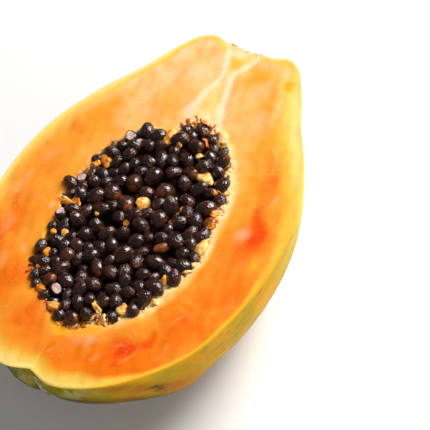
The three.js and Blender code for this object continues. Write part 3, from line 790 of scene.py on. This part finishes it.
def settle(top, top_room, buried, rng):
    """Middles of seeds in the hollow. The top ones start where they lie in the cut face and are
    pulled back there; the buried ones start at random below. All push each other apart over many
    small steps, each held under a low dome and inside the hollow's narrowing oval."""
    count = len(top) + buried
    below = rng.uniform((-46, -29, -HEAP_THICKNESS), (46, 29, -4), (buried, 3))
    at = np.vstack((np.column_stack((top - HOLLOW_MIDDLE, np.full(len(top), -1.0))), below))
    home = at[: len(top), :2].copy()
    room = np.concatenate((top_room, rng.uniform(5.2, 6.2, buried)))
    lift = np.clip(rng.normal(0, 0.85, count), -2.2, 1.0)
    for _ in range(SETTLE_STEPS):
        gap = at[:, None] - at[None]
        far = np.linalg.norm(gap, axis=-1) + np.eye(count) * 99
        push = np.clip((room[:, None] + room[None]) / 2 * 0.97 - far, 0, None)
        at += 0.3 * (gap / far[..., None] * push[..., None]).sum(axis=1)
        at[: len(top), :2] += 0.12 * (home - at[: len(top), :2])
        at[: len(top), 2] += 0.1
        narrowing = np.sqrt(1 - (np.minimum(at[:, 2], 0) / HOLLOW_DEPTH) ** 2)
        turned = np.degrees(np.arctan2(at[:, 1], at[:, 0]))
        ragged = np.interp(turned, RIM_ANGLES, RIM_REACH, period=360)
        half_length = (HOLLOW_HALF[0] * ragged - 0.36 * room) * narrowing
        half_width = (HOLLOW_HALF[1] * ragged - 0.36 * room) * narrowing
        out = np.hypot(at[:, 0] / half_length, at[:, 1] / half_width)
        at[:, :2] /= np.maximum(out, 1)[:, None]
        dome = HEAP_TOP + lift - HEAP_FALL * np.minimum(out, 1) ** 2
        at[:, 2] = np.clip(at[:, 2], -HEAP_THICKNESS, dome)
        at[len(top) :, 2] = np.minimum(at[len(top) :, 2], -3.0)
    at += (*HOLLOW_MIDDLE, CUT_HEIGHT)
    at[:, 2] = np.minimum(at[:, 2], HEAP_LIMIT - 0.6 * room)
    return at


def unit(vectors):
    """The same directions with length 1."""
    return vectors / np.linalg.norm(vectors, axis=1, keepdims=True)


def frames(first, second):
    """Three axes at right angles for each piece: the first as given, the second without its
    share along the first, and the third square to both."""
    first = unit(first)
    second = unit(second - (first * second).sum(axis=1, keepdims=True) * first)
    return np.stack((first, second, np.cross(first, second)), axis=1)


def tube_quads(count, rings, sides):
    """Four corner numbers for each cell of count tubes, each of rings with sides points."""
    start = np.arange(count)[:, None, None] * rings * sides
    i, j = np.arange(rings - 1)[None, :, None], np.arange(sides)[None, None]
    here, beside = start + i * sides + j, start + i * sides + (j + 1) % sides
    return np.stack((here, beside, beside + sides, here + sides), axis=-1).reshape(-1, 4)


def eggs(middles, axes, half_sizes, rows, sides, taper, dents, waviness, rng):
    """Closed egg shapes. With v from -1 to 1 along the egg and s around it, the radius is the
    circle's, sqrt(1 - v^2), times 1 + taper v, and random sine dents, with waviness for their
    count, move each point in or out. Returns the points, the quads and each point's place
    inside its own egg, from -1 to 1."""
    v = -np.cos(np.linspace(0, np.pi, rows + 1))[None, :, None]
    s = np.linspace(0, 2 * np.pi, sides, endpoint=False)[None, None]
    count = len(middles)
    ring = np.sqrt(np.maximum(1 - v**2, 0)) * (1 + taper.reshape(-1, 1, 1) * v)
    ball = np.stack(np.broadcast_arrays(v, ring * np.cos(s), ring * np.sin(s)), axis=-1)
    wobble = rng.normal(size=(count, 3, 3)) * waviness
    phase = rng.uniform(0, 2 * np.pi, (count, 1, 1, 3))
    bumps = np.sin(np.einsum("nrsk,nkm->nrsm", ball, wobble) + phase).sum(axis=-1, keepdims=True)
    shaped = ball * (1 + dents * bumps) * half_sizes[:, None, None]
    points = np.einsum("nrsk,nkm->nrsm", shaped, axes) + middles[:, None, None]
    return points.reshape(-1, 3), tube_quads(count, rows + 1, sides), ball.reshape(-1, 3)


SEED_DARK = srgb(28, 10, 13)
SEED_BROWN = srgb(88, 44, 24)
# Amber for the seeds' ends: partly the coat's own brown, partly painted glow of light through it.
SEED_AMBER_GLOW = srgb(160, 80, 20)


def seed_material(name, ridge, ridge_count, brown_share):
    """Near-black shell with lengthwise ridges and wrinkles, brown where its clear coat is thick,
    all under a glossy coat. Each seed's tone moves the noise on, so no two are alike."""
    material, n = new_material(name)
    own = n.fact("own_place", "Vector")
    tone = n.fact("tone")
    end_on, side, top = n.split(own)
    moved_on = n.stretch(n.add("ShaderNodeCombineXYZ", {0: tone, 1: tone, 2: tone}), (31.0, 57.0, 83.0))
    moved = n.shift(own, moved_on)
    around = n.times(n.math("ARCTAN2", side, top), float(ridge_count))
    wave = n.math("SINE", n.plus(around, n.times(n.noise(moved, 1.6, 3, 0.6), 22.0)))
    ridges = n.times(n.plus(wave, 1.0), 0.5)
    wrinkles = n.noise(moved, 3.6, 4, 0.62, 1.4)
    cloudy = n.ramp(n.noise(moved, 1.2, 3, 0.5), 0.35, 0.7)
    browned = n.times(cloudy, n.times(n.plus(tone, 0.3), brown_share), clamp=True)
    color = n.mix(browned, SEED_DARK, SEED_BROWN)
    color = n.mix(n.times(n.ramp(ridges, 0.6, 1.0), 0.35), color, SEED_BROWN)
    # Amber at each seed's ends: partly the clear coat's own brown, partly painted glow of light passing
    # through the coat.
    glowing_tips = n.ramp(n.math("ABSOLUTE", end_on), 0.72, 1.0)
    color = n.mix(n.times(glowing_tips, n.times(tone, brown_share)), color, SEED_AMBER_GLOW)
    raised = n.times(ridges, ridge)
    n.finish({
        "Base Color": color, "Roughness": n.ramp(wrinkles, 0.3, 0.7, 0.35, 0.55),
        "Normal": n.bump(n.plus(raised, wrinkles), 1.0, 0.35), "Specular IOR Level": 0.04,
        "Coat Weight": 0.92, "Coat Roughness": 0.03, "Coat IOR": 1.68,
        "Coat Normal": n.bump(n.plus(raised, n.times(wrinkles, 0.12)), 1.0, 0.09),
    })
    return material


rng = np.random.default_rng(12)
top_seeds = np.vstack((TOP_SEEDS[:, :3], SLICED_SEEDS))
top_size = np.concatenate((top_seeds[:, 2] * SEED_SCALE, PULP_BITS[:, 2:4].mean(axis=1) * BIT_ROOM))
top_places = np.vstack((top_seeds[:, :2], PULP_BITS[:, :2])) + TOP_SHIFT
heap = settle(top_places, top_size * TOP_ROOM, BURIED_SEEDS, rng)
seed_size = np.concatenate((top_size, rng.uniform(5.4, 6.4, BURIED_SEEDS)))
seed_kind = np.concatenate((
    TOP_SEEDS[:, 3].astype(int), np.full(len(SLICED_SEEDS), SLICED), np.full(len(PULP_BITS), PULP),
    rng.choice(3, BURIED_SEEDS, p=BURIED_SHARES),
))
lengthways = rng.normal(size=(len(heap), 3)) * (1, 1, 0.5)
seed_frames = frames(lengthways, np.cross(lengthways, rng.normal(size=(len(heap), 3))))
SEED_KINDS = (  # name, longer by, dents, ridge height, ridges, share of brown
    ("plump_seeds", 1.12, 0.055, 0.6, 12, 1.0),
    ("wrinkled_seeds", 1.22, 0.1, 1.2, 10, 0.8),
    ("dark_seeds", 1.18, 0.075, 0.8, 11, 0.4),
)
for number, (name, longer, dents, ridge, ridge_count, brown_share) in enumerate(SEED_KINDS):
    mine = seed_kind == number
    count = int(mine.sum())
    lengths = seed_size[mine] * longer * rng.uniform(0.97, 1.05, count)
    widths = seed_size[mine] / longer**0.5 * rng.uniform(0.97, 1.03, (2, count))
    points, quads, own_place = eggs(
        heap[mine], seed_frames[mine], np.column_stack((lengths, *widths)) / 2, SEED_ROWS, SEED_SIDES,
        rng.uniform(0.04, 0.16, count), dents, 1.6, rng,
    )
    points[:, 2] = np.minimum(points[:, 2], HEAP_LIMIT)
    tone = np.repeat(rng.uniform(0, 1, count), (SEED_ROWS + 1) * SEED_SIDES)
    shell = seed_material(name, ridge, ridge_count, brown_share)
    seeds = add_piece(name, points, quads, (shell,), {"own_place": own_place, "tone": tone})
    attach(seeds, "root")
    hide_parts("seeds")

# ---------------------------------------------------------------------------------------
# Seed bed. The dark wet mass of seed coats and juice that the seeds sit in. It fills the
# hollow below them as one low dome, so that the heap is closed between and under them.

BED_ROWS, BED_SIDES = 41, 96
BED_GAP = 1.2  # between the bed and the hollow's wall
BED_SINK = 8.3  # of the bed's widest place below the cut face
BED_RISE, BED_DEPTH = 2.2, HOLLOW_DEPTH - 7.5  # above and below its widest place
bed_turn = np.linspace(0, 2 * np.pi, BED_SIDES, endpoint=False)[:, None]
bed_rise = np.linspace(-np.pi / 2, np.pi / 2, BED_ROWS)[None]
bed_half = HOLLOW_HALF - BED_GAP
bed = np.stack(np.broadcast_arrays(
    HOLLOW_MIDDLE[0] + bed_half[0] * np.cos(bed_rise) * np.cos(bed_turn),
    HOLLOW_MIDDLE[1] + bed_half[1] * np.cos(bed_rise) * np.sin(bed_turn),
    CUT_HEIGHT - BED_SINK + np.where(bed_rise < 0, BED_DEPTH, BED_RISE) * np.sin(bed_rise),
), axis=-1)
bed[..., 2] += 0.5 * ripple(bed, 6, 31) * np.cos(bed_rise)

BED_DARK = srgb(38, 20, 20)
BED_BROWN = srgb(92, 42, 24)
bed_material, n = new_material("seed_bed")
place = n.place()
color = n.mix(n.ramp(n.noise(place, 120, 3), 0.45, 0.7), BED_DARK, BED_BROWN)
color, height, roughness = with_grain(n, place, color, 1.6, 0.5)
n.finish({
    "Base Color": color, "Roughness": roughness, "Coat Weight": 0.5, "Normal": n.bump(height, 0.6, 0.5),
})
bed_quads = grid_quads(BED_SIDES, BED_ROWS, wrap=True)
seed_bed = add_piece("seed_bed", bed.reshape(-1, 3), bed_quads, (bed_material,), {})
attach(seed_bed, "root")
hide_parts("seeds")

# ---------------------------------------------------------------------------------------
# Sliced seeds. A few seeds lay across the cut and lost their tops to the knife. Each shows a
# flat pinkish cream kernel inside a dark shell, level with the cut face.

SLICE_REACH = 0.62  # of the flat, over the seed's middle, as a share of its radius
SLICE_ROWS, SLICE_SIDES = 18, 28
sliced = seed_kind == SLICED
count = int(sliced.sum())
middles = heap[sliced].copy()
middles[:, 2] = np.maximum(middles[:, 2], CUT_HEIGHT + 0.3)
radii = seed_size[sliced] / 2
points, quads, _ = eggs(
    middles, seed_frames[sliced], np.outer(radii, (1.15, 1, 1)), SLICE_ROWS, SLICE_SIDES,
    rng.uniform(0.04, 0.12, count), 0.04, 2.2, rng,
)
facing = unit(rng.normal(0, 0.3, (count, 3)) + (-0.2, -0.3, 1.0))
each = np.repeat(np.arange(count), (SLICE_ROWS + 1) * SLICE_SIDES)
over = ((points - middles[each]) * facing[each]).sum(axis=1) - SLICE_REACH * radii[each]
points -= np.maximum(over, 0)[:, None] * facing[each]

KERNEL_CREAM = srgb(226, 200, 188)
KERNEL_PINK = srgb(190, 144, 132)
sliced_material, n = new_material("sliced_seeds")
place = n.place()
color = n.mix(n.ramp(n.noise(place, 900, 3), 0.35, 0.65), KERNEL_CREAM, KERNEL_PINK)
n.finish({
    "Base Color": n.mix(n.ramp(n.fact("kernel"), 0.25, 0.75), SEED_DARK, color), "Roughness": 0.35,
    "Coat Weight": 0.5, "Coat Roughness": 0.1, "Normal": n.bump(n.noise(place, 1400, 3), 0.6, 0.2),
})
sliced_seeds = add_piece(
    "sliced_seeds", points, quads, (sliced_material,), {"kernel": smooth(0.12, 0.4, over)})
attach(sliced_seeds, "root")
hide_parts("seeds")

# ---------------------------------------------------------------------------------------
# Pulp bits. Soft scraps of the cream and golden tissue that the seeds hung on, torn off by
# the knife and lying wet among the seeds. They have no node, so they ride on the root.

BIT_ROWS, BIT_SIDES = 16, 22
BIT_FLATNESS = 0.55  # thickness over width
BIT_FILL = 0.64  # half of the size, and a little more, because the ends taper
BIT_RISE = 0.8  # of a bit's top over the cut face
level = np.radians(PULP_BITS[:, 4])
tilt = rng.normal(0, 0.25, (2, len(level)))
bit_frames = frames(
    np.column_stack((np.cos(level), np.sin(level), tilt[0])),
    np.column_stack((-np.sin(level), np.cos(level), tilt[1])),
)
bit_half = PULP_BITS[:, (2, 3, 3)] * (1, 1, BIT_FLATNESS) * BIT_FILL
middles = heap[seed_kind == PULP].copy()
middles[:, 2] = CUT_HEIGHT + BIT_RISE - bit_half[:, 2]
points, quads, _ = eggs(
    middles, bit_frames, bit_half, BIT_ROWS, BIT_SIDES, rng.uniform(-0.3, 0.3, len(level)), 0.12, 1.9, rng)
points = shaken(points, 0.16, 1.7, 51)
tone = np.repeat(PULP_BITS[:, 5], (BIT_ROWS + 1) * BIT_SIDES)

PULP_CREAM = srgb(249, 202, 116)
PULP_GOLD = srgb(234, 142, 24)
PULP_BROWN = srgb(124, 66, 32)


def pulp_material(name, cream, grain_size, clearness, low_browning):
    """Wet soft tissue: cream, gold or brown by the tone of each scrap, with small pits. Light
    passes into it by the share of clearness, and it turns browner lower down, below the cut
    face, by the last share."""
    material, n = new_material(name)
    place = n.place()
    strands = n.noise(n.stretch(place, (1.0, 0.3, 0.6)), 1100, 4, 0.6, 0.8)
    blotch = n.noise(place, 420, 3, 0.6)
    uneven = n.plus(n.times(strands, 0.8), n.times(blotch, 1.7))
    shade = n.plus(n.fact("tone"), n.math("SUBTRACT", uneven, 1.25))
    color = n.mix(n.ramp(shade, 0.1, 0.5), cream, PULP_GOLD)
    color = n.mix(n.ramp(shade, 0.5, 0.95), color, PULP_BROWN)
    # The tissue turns browner lower down, below the cut face.
    browner_low = n.ramp(n.split(place)["Z"], (CUT_HEIGHT - 0.2) * MM, (CUT_HEIGHT - 2.0) * MM, 0.0, low_browning)
    color = n.mix(browner_low, color, PULP_BROWN)
    color, height, roughness = with_grain(n, place, color, grain_size, 0.2)
    n.finish({
        "Base Color": color, "Roughness": roughness, "Normal": n.bump(n.plus(height, strands), 0.8, 0.3),
        "Subsurface Weight": clearness, "Subsurface Radius": LIGHT_REACH, "Subsurface Scale": 1.0 * MM,
        "Coat Weight": 0.3, "Coat Roughness": 0.15, "Specular IOR Level": 0.3,
    })
    return material


bit_material = pulp_material("pulp_bits", PULP_CREAM, 0.6, 0.3, 0.8)
pulp_bits = add_piece("pulp_bits", points, quads, (bit_material,), {"tone": tone})
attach(pulp_bits, "root")

# ---------------------------------------------------------------------------------------
# Shreds. Thin wet skins and hairs that tied the seeds to the wall, torn at the cut. They curl
# over the hollow's edge, brown and orange where they are thick.

SHREDS = np.array((  # from x, y to x, y; bow, width, rise, tone
    (40.6, 6.8, 37.0, 3.2, 1.0, 1.8, 1.2, 0.85), (42.8, 4.2, 41.6, 1.2, 0.5, 1.0, 0.8, 0.6),
    (43.0, -0.6, 40.2, -6.8, -1.2, 2.4, 1.4, 0.8), (40.2, -6.4, 42.6, -7.6, 0.6, 0.9, 0.8, 0.85),
    (35.2, -3.8, 31.3, -9.2, 0.8, 2.0, 1.0, 0.85), (38.8, 6.0, 36.0, 6.6, 0.5, 1.4, 1.0, 0.7),
    (20.4, 28.8, 17.6, 25.2, 0.4, 0.9, 1.0, 1.5), (42.6, 2.2, 41.0, -0.8, 0.6, 0.9, 0.6, 0.7),
    (39.4, -8.0, 37.2, -10.8, 0.5, 1.6, 0.8, 0.8), (-17.6, -33.4, -21.0, -29.4, 0.8, 1.0, 1.0, 0.15),
    (-53.5, -9.0, -49.0, -12.0, 0.6, 1.4, 1.2, 0.3), (-52.0, -14.4, -47.6, -12.6, -0.8, 1.2, 1.2, 0.1),
    (-44.2, -25.2, -41.6, -20.4, 0.6, 1.6, 1.0, 0.1), (-36.0, -29.6, -35.0, -25.6, 0.3, 1.6, 1.0, 0.1),
    (-42.6, 26.8, -41.0, 24.0, 0.5, 0.9, 0.8, 1.2), (-45.6, 25.6, -42.6, 23.0, 0.5, 1.0, 0.8, 1.1),
    (-10.4, 33.6, -12.4, 27.0, 0.9, 1.4, 1.0, 0.3), (-22.0, 30.4, -22.8, 26.4, 0.7, 1.2, 0.8, 0.9),
    (5.4, 31.4, 7.6, 27.2, 0.6, 1.2, 0.8, 0.9), (2.6, -30.6, -1.4, -27.6, 0.8, 1.8, 1.0, 0.85),
    (-3.6, 33.0, -1.2, 29.8, 0.4, 0.8, 0.7, 1.2), (-31.8, 29.2, -30.6, 25.6, 0.4, 0.9, 0.8, 1.2),
))
HAIRS = 44
STRIP_ROWS, STRIP_SIDES = 11, 8
STRIP_FLATNESS = 0.25  # thickness over width
STRIP_SINK = 0.9  # of the torn end in the flesh


def strips(lines, base, rows, sides, rng):
    """Thin closed strips. Each runs from one place to another along a parabola that bows
    sideways and rises, is widest in its middle, a quarter as thick as wide, and rolls as it
    goes. Returns the points and quads."""
    start, end, bow, wide, rise = np.split(lines[:, None, :7], (2, 4, 5, 6), axis=-1)
    t = np.linspace(0, 1, rows)[None, :, None]
    hump = 4 * t * (1 - t)
    run = end - start
    length = np.linalg.norm(run, axis=-1, keepdims=True)
    side = np.stack((-run[..., 1], run[..., 0]), axis=-1) / length
    height = base + rise * hump - STRIP_SINK * (1 - t)
    middle = np.concatenate((start + run * t + side * bow * hump, height), axis=-1)
    roll = rng.uniform(-1, 1, (len(lines), 1, 1)) + rng.uniform(-2, 2, (len(lines), 1, 1)) * t
    broad = np.concatenate((side * np.cos(roll), np.sin(roll)), axis=-1)
    thin = np.concatenate((-side * np.sin(roll), np.cos(roll)), axis=-1)
    around = np.linspace(0, 2 * np.pi, sides, endpoint=False)[:, None]
    ragged = 1 + 0.25 * np.sin(11 * t + start[..., :1])
    half = wide / 2 * np.sqrt(np.maximum(hump, 0)) * ragged
    ring = broad[:, :, None] * np.cos(around) + STRIP_FLATNESS * thin[:, :, None] * np.sin(around)
    points = middle[:, :, None] + half[..., None] * ring
    return points.reshape(-1, 3), tube_quads(len(lines), rows, sides)


roots = rng.choice(len(loop), HAIRS)
hair_turn = angle[roots] + rng.normal(0, 0.9, HAIRS)
hair_from = rim[roots] + direction[roots] * rng.uniform(-0.4, 0.5, (HAIRS, 1))
hair_run = np.column_stack((np.cos(hair_turn), np.sin(hair_turn))) * rng.uniform(1.2, 3.2, (HAIRS, 1))
hairs = np.column_stack((
    hair_from, hair_from - hair_run, rng.normal(0, 0.6, HAIRS), rng.uniform(0.2, 0.5, HAIRS),
    rng.uniform(0.3, 1.2, HAIRS), np.where(hair_from[:, 1] > 0, rng.uniform(0.5, 1.0, HAIRS), 0.15),
))
all_shreds = np.vstack((SHREDS, hairs))
points, quads = strips(all_shreds, CUT_HEIGHT, STRIP_ROWS, STRIP_SIDES, rng)
points = shaken(points, 0.15, 1.8, 71)
tone = np.repeat(all_shreds[:, 7], STRIP_ROWS * STRIP_SIDES)

SHRED_ORANGE = srgb(214, 112, 50)
SHRED_DARK = srgb(60, 24, 14)
shred_material, n = new_material("pulp_shreds")
place = n.place()
shade = n.plus(n.fact("tone"), n.times(n.swing(place, 500, 3), 0.6))
color = n.mix(n.ramp(shade, 0.2, 0.7), PULP_CREAM, SHRED_ORANGE)
n.finish({
    "Base Color": n.mix(n.ramp(shade, 0.8, 1.3), color, SHRED_DARK), "Roughness": 0.35,
    "Coat Weight": 0.5, "Coat Roughness": 0.1, "Normal": n.bump(n.noise(place, 1100, 3), 0.6, 0.15),
})
shreds = add_piece("pulp_shreds", points, quads, (shred_material,), {"tone": tone})
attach(shreds, "root")

# ---------------------------------------------------------------------------------------
# Lining crumbs. The hollow's wall is lined with a spongy cream skin. The knife tore it into
# small crumbs and flaps, which stay on the softened edge, most of them on the -Y side.

FLAPS, CRUMBS = 250, 200
CHANCE_AT = (-180, -20, 0, 20, 60, 130, 165, 180)  # degrees round the hollow from the stem end
CHANCES = (1, 1, 0.6, 0.2, 0.14, 0.2, 0.5, 1)
TONE_AT = (-180, -165, -150, -10, 20, 60, 150, 180)
TONES = (0.5, 0.45, 0.16, 0.16, 0.4, 0.5, 0.5, 0.5)
FLAP_HALF, CRUMB_HALF = (2.3, 1.5, 0.6), (0.8, 0.6, 0.28)
count = FLAPS + CRUMBS
wanted = np.interp(loop_degrees, CHANCE_AT, CHANCES)
at_rim = rng.choice(len(loop), count, p=wanted / wanted.sum())
is_flap = np.arange(count) < FLAPS
inward = np.where(is_flap, rng.uniform(-0.3, 2.2, count), rng.uniform(-1.6, 1.2, count))
sunk = np.where(is_flap, rng.uniform(0.8, 1.9, count), rng.uniform(0.4, 1.2, count))
sunk += np.maximum(inward, 0) * 0.35
middles = np.column_stack((rim[at_rim] - direction[at_rim] * inward[:, None], CUT_HEIGHT - sunk))
swerve = rng.normal(0, 0.6, count) + angle[at_rim]
outward = np.column_stack((np.cos(swerve), np.sin(swerve), rng.uniform(-0.2, 0.35, count)))
crumb_frames = frames(outward, np.cross(rng.normal(0, 0.35, (count, 3)) + (0, 0, 1), outward))
crumb_half = rng.uniform((0.6, 0.6, 0.6), (1.3, 1.2, 1.2), (count, 3))
crumb_half *= np.where(is_flap[:, None], FLAP_HALF, CRUMB_HALF)
crumb_tone = np.interp(loop_degrees[at_rim], TONE_AT, TONES) + rng.normal(0, 0.08, count)

CRUMB_CREAM = srgb(254, 210, 142)
crumb_material = pulp_material("lining_crumbs", CRUMB_CREAM, 0.5, 0.0, 0.1)
for name, mine, rows, sides in (("lining_flaps", is_flap, 8, 10), ("lining_crumbs", ~is_flap, 4, 6)):
    points, quads, _ = eggs(
        middles[mine], crumb_frames[mine], crumb_half[mine], rows, sides,
        rng.uniform(-0.3, 0.3, int(mine.sum())), 0.16, 2.4, rng,
    )
    points = shaken(points, 0.16, 1.4, 61)
    tone = np.repeat(crumb_tone[mine], (rows + 1) * sides)
    crumbs = add_piece(name, points, quads, (crumb_material,), {"tone": tone})
    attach(crumbs, "root")

# ---------------------------------------------------------------------------------------
# Stem crust. Where the stalk broke off, the scar has dried to a corky crust. The cut runs
# through it, and its small pinkish brown flakes stand up along the edge between the shoulders.

FLAKES = 150
FLAKE_ROWS, FLAKE_SIDES = 6, 8
CRUST_RADIUS = 9.2
flake_turn = np.pi * rng.uniform(0, 1, FLAKES)
flake_radius = CRUST_RADIUS * np.sqrt(rng.uniform(0, 1, FLAKES)) * rng.uniform(0.85, 1, FLAKES)
flake_y = flake_radius * np.cos(flake_turn) - 0.3
flake_down = flake_radius * np.sin(flake_turn)
flake_drop = flake_down * DEPTH_RATIO
end_curve = outline[outline[:, 0].argmax() :][::-1]
flake_x = np.interp(np.hypot(flake_y, flake_down), end_curve[:, 1], end_curve[:, 0]) - LENGTH / 2
flake_x += rng.uniform(-0.6, 0.3, FLAKES) + 0.7 * smooth(2, 6, flake_y) * smooth(3, 0, flake_drop)
middles = np.column_stack((flake_x, flake_y, CUT_HEIGHT - 0.3 - flake_drop))
flake_half = rng.uniform((0.5, 0.8, 0.6), (0.9, 1.9, 1.4), (FLAKES, 3))
flake_frames = frames(*(axis + rng.normal(0, 0.25, (FLAKES, 3)) for axis in ((1, 0, 0), (0, 1, 0))))
points, quads, _ = eggs(
    middles, flake_frames, flake_half, FLAKE_ROWS, FLAKE_SIDES,
    rng.uniform(-0.3, 0.3, FLAKES), 0.14, 2.4, rng,
)
points[:, 2] = np.minimum(points[:, 2], CUT_HEIGHT - 0.03 + 0.05 * ripple(points, 1.6, 81))
points[:, 0] = np.minimum(points[:, 0], cad_box[1][0] / MM - 0.05)
tone = np.repeat(np.clip(rng.normal(0.45, 0.3, FLAKES), 0, 1), (FLAKE_ROWS + 1) * FLAKE_SIDES)

CRUST_CREAM = srgb(250, 216, 184)
CRUST_PINK = srgb(238, 184, 160)
CRUST_OLIVE = srgb(176, 166, 110)
CRUST_TAN = srgb(170, 132, 78)
CRUST_BROWN = srgb(108, 72, 40)
crust_material, n = new_material("stem_crust")
place = n.place()
shade = n.plus(n.fact("tone"), n.times(n.swing(place, 700, 3), 0.8))
color = n.mix(n.ramp(shade, 0.2, 0.7), CRUST_CREAM, CRUST_PINK)
color = n.mix(n.ramp(shade, 0.75, 1.1), color, CRUST_OLIVE)
corky = n.ramp(n.split(place)["Z"], (CUT_HEIGHT - 0.8) * MM, (CUT_HEIGHT - 2.4) * MM)
cork = n.mix(n.ramp(shade, 0.2, 0.9), CRUST_TAN, CRUST_BROWN)
n.finish({
    "Base Color": n.mix(n.times(corky, 0.85), color, cork), "Roughness": 0.75,
    "Specular IOR Level": 0.2, "Normal": n.bump(n.noise(place, 1300, 3), 0.6, 0.15),
})
stem_crust = add_piece("stem_crust", points, quads, (crust_material,), {"tone": tone})
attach(stem_crust, "root")

# ---------------------------------------------------------------------------------------
# Studio. A pale table, a large soft light from the stem end's side, and a softer one from
# the other side. The camera stands above the blossom end and looks down over the cut face.

TABLE_HALF = 3
TABLE_GREY, TABLE_LIGHT = (0.86, 0.86, 0.86, 1), (0.9, 0.9, 0.9, 1)
ROOM_LIGHT = 0.11
CAMERA_AT = (-0.2624, -0.3253, 0.5858)
CAMERA_RIGHT = np.array((0.50874, -0.83512, -0.20918))
CAMERA_UP = np.array((0.76114, 0.32277, 0.56257))
LENS_MM = 150.6

table_material, n = new_material("pale_table")
n.finish({"Base Color": n.mix(n.noise(n.place(), 3.0), TABLE_GREY, TABLE_LIGHT), "Roughness": 0.6})
table_mesh = bpy.data.meshes.new("table_top")
table_corners = [(x * TABLE_HALF, y * TABLE_HALF, 0) for x, y in ((-1, -1), (1, -1), (1, 1), (-1, 1))]
table_mesh.from_pydata(table_corners, [], [(0, 1, 2, 3)])
table_mesh.materials.append(table_material)
table_top = bpy.data.objects.new("table_top", table_mesh)
bpy.context.scene.collection.objects.link(table_top)

world = bpy.data.worlds.new("studio")
world.use_nodes = True
world.node_tree.nodes["Background"].inputs["Color"].default_value = (1.0, 1.0, 1.0, 1)
world.node_tree.nodes["Background"].inputs["Strength"].default_value = ROOM_LIGHT
bpy.context.scene.world = world


def stand(name, data, right, up, at):
    """A light or camera at a place in metres, with its own right and up axes; it looks along
    minus the axis square to both."""
    thing = bpy.data.objects.new(name, data)
    bpy.context.scene.collection.objects.link(thing)
    axes = np.column_stack((right, up, np.cross(right, up), at))
    thing.matrix_world = Matrix(np.vstack((axes, (0, 0, 0, 1))).tolist())
    return thing


def add_softbox(name, at, size, power):
    """A square area light at a place in metres, facing the fruit's middle."""
    data = bpy.data.lights.new(name, "AREA")
    data.size = size
    data.energy = power
    away = np.array(at) - (0, 0, CUT_HEIGHT * MM)
    right = np.cross((0, 0, 1.0), away)
    right /= np.linalg.norm(right)
    return stand(name, data, right, np.cross(away / np.linalg.norm(away), right), at)


add_softbox("key_light", (0.95, -0.38, 0.84), 0.7, 29.0)
low_fill = add_softbox("low_fill", (-0.75, -0.85, 0.4), 1.6, 8.0)
low_fill.visible_glossy = False  # a fill that lifts the shadows but leaves no second highlight

camera_data = bpy.data.cameras.new("camera")
camera_data.sensor_width = 36.0
camera_data.lens = LENS_MM
camera_data.clip_end = 20.0
bpy.context.scene.camera = stand("camera", camera_data, CAMERA_RIGHT, CAMERA_UP, CAMERA_AT)
bpy.context.scene.view_settings.view_transform = "Standard"
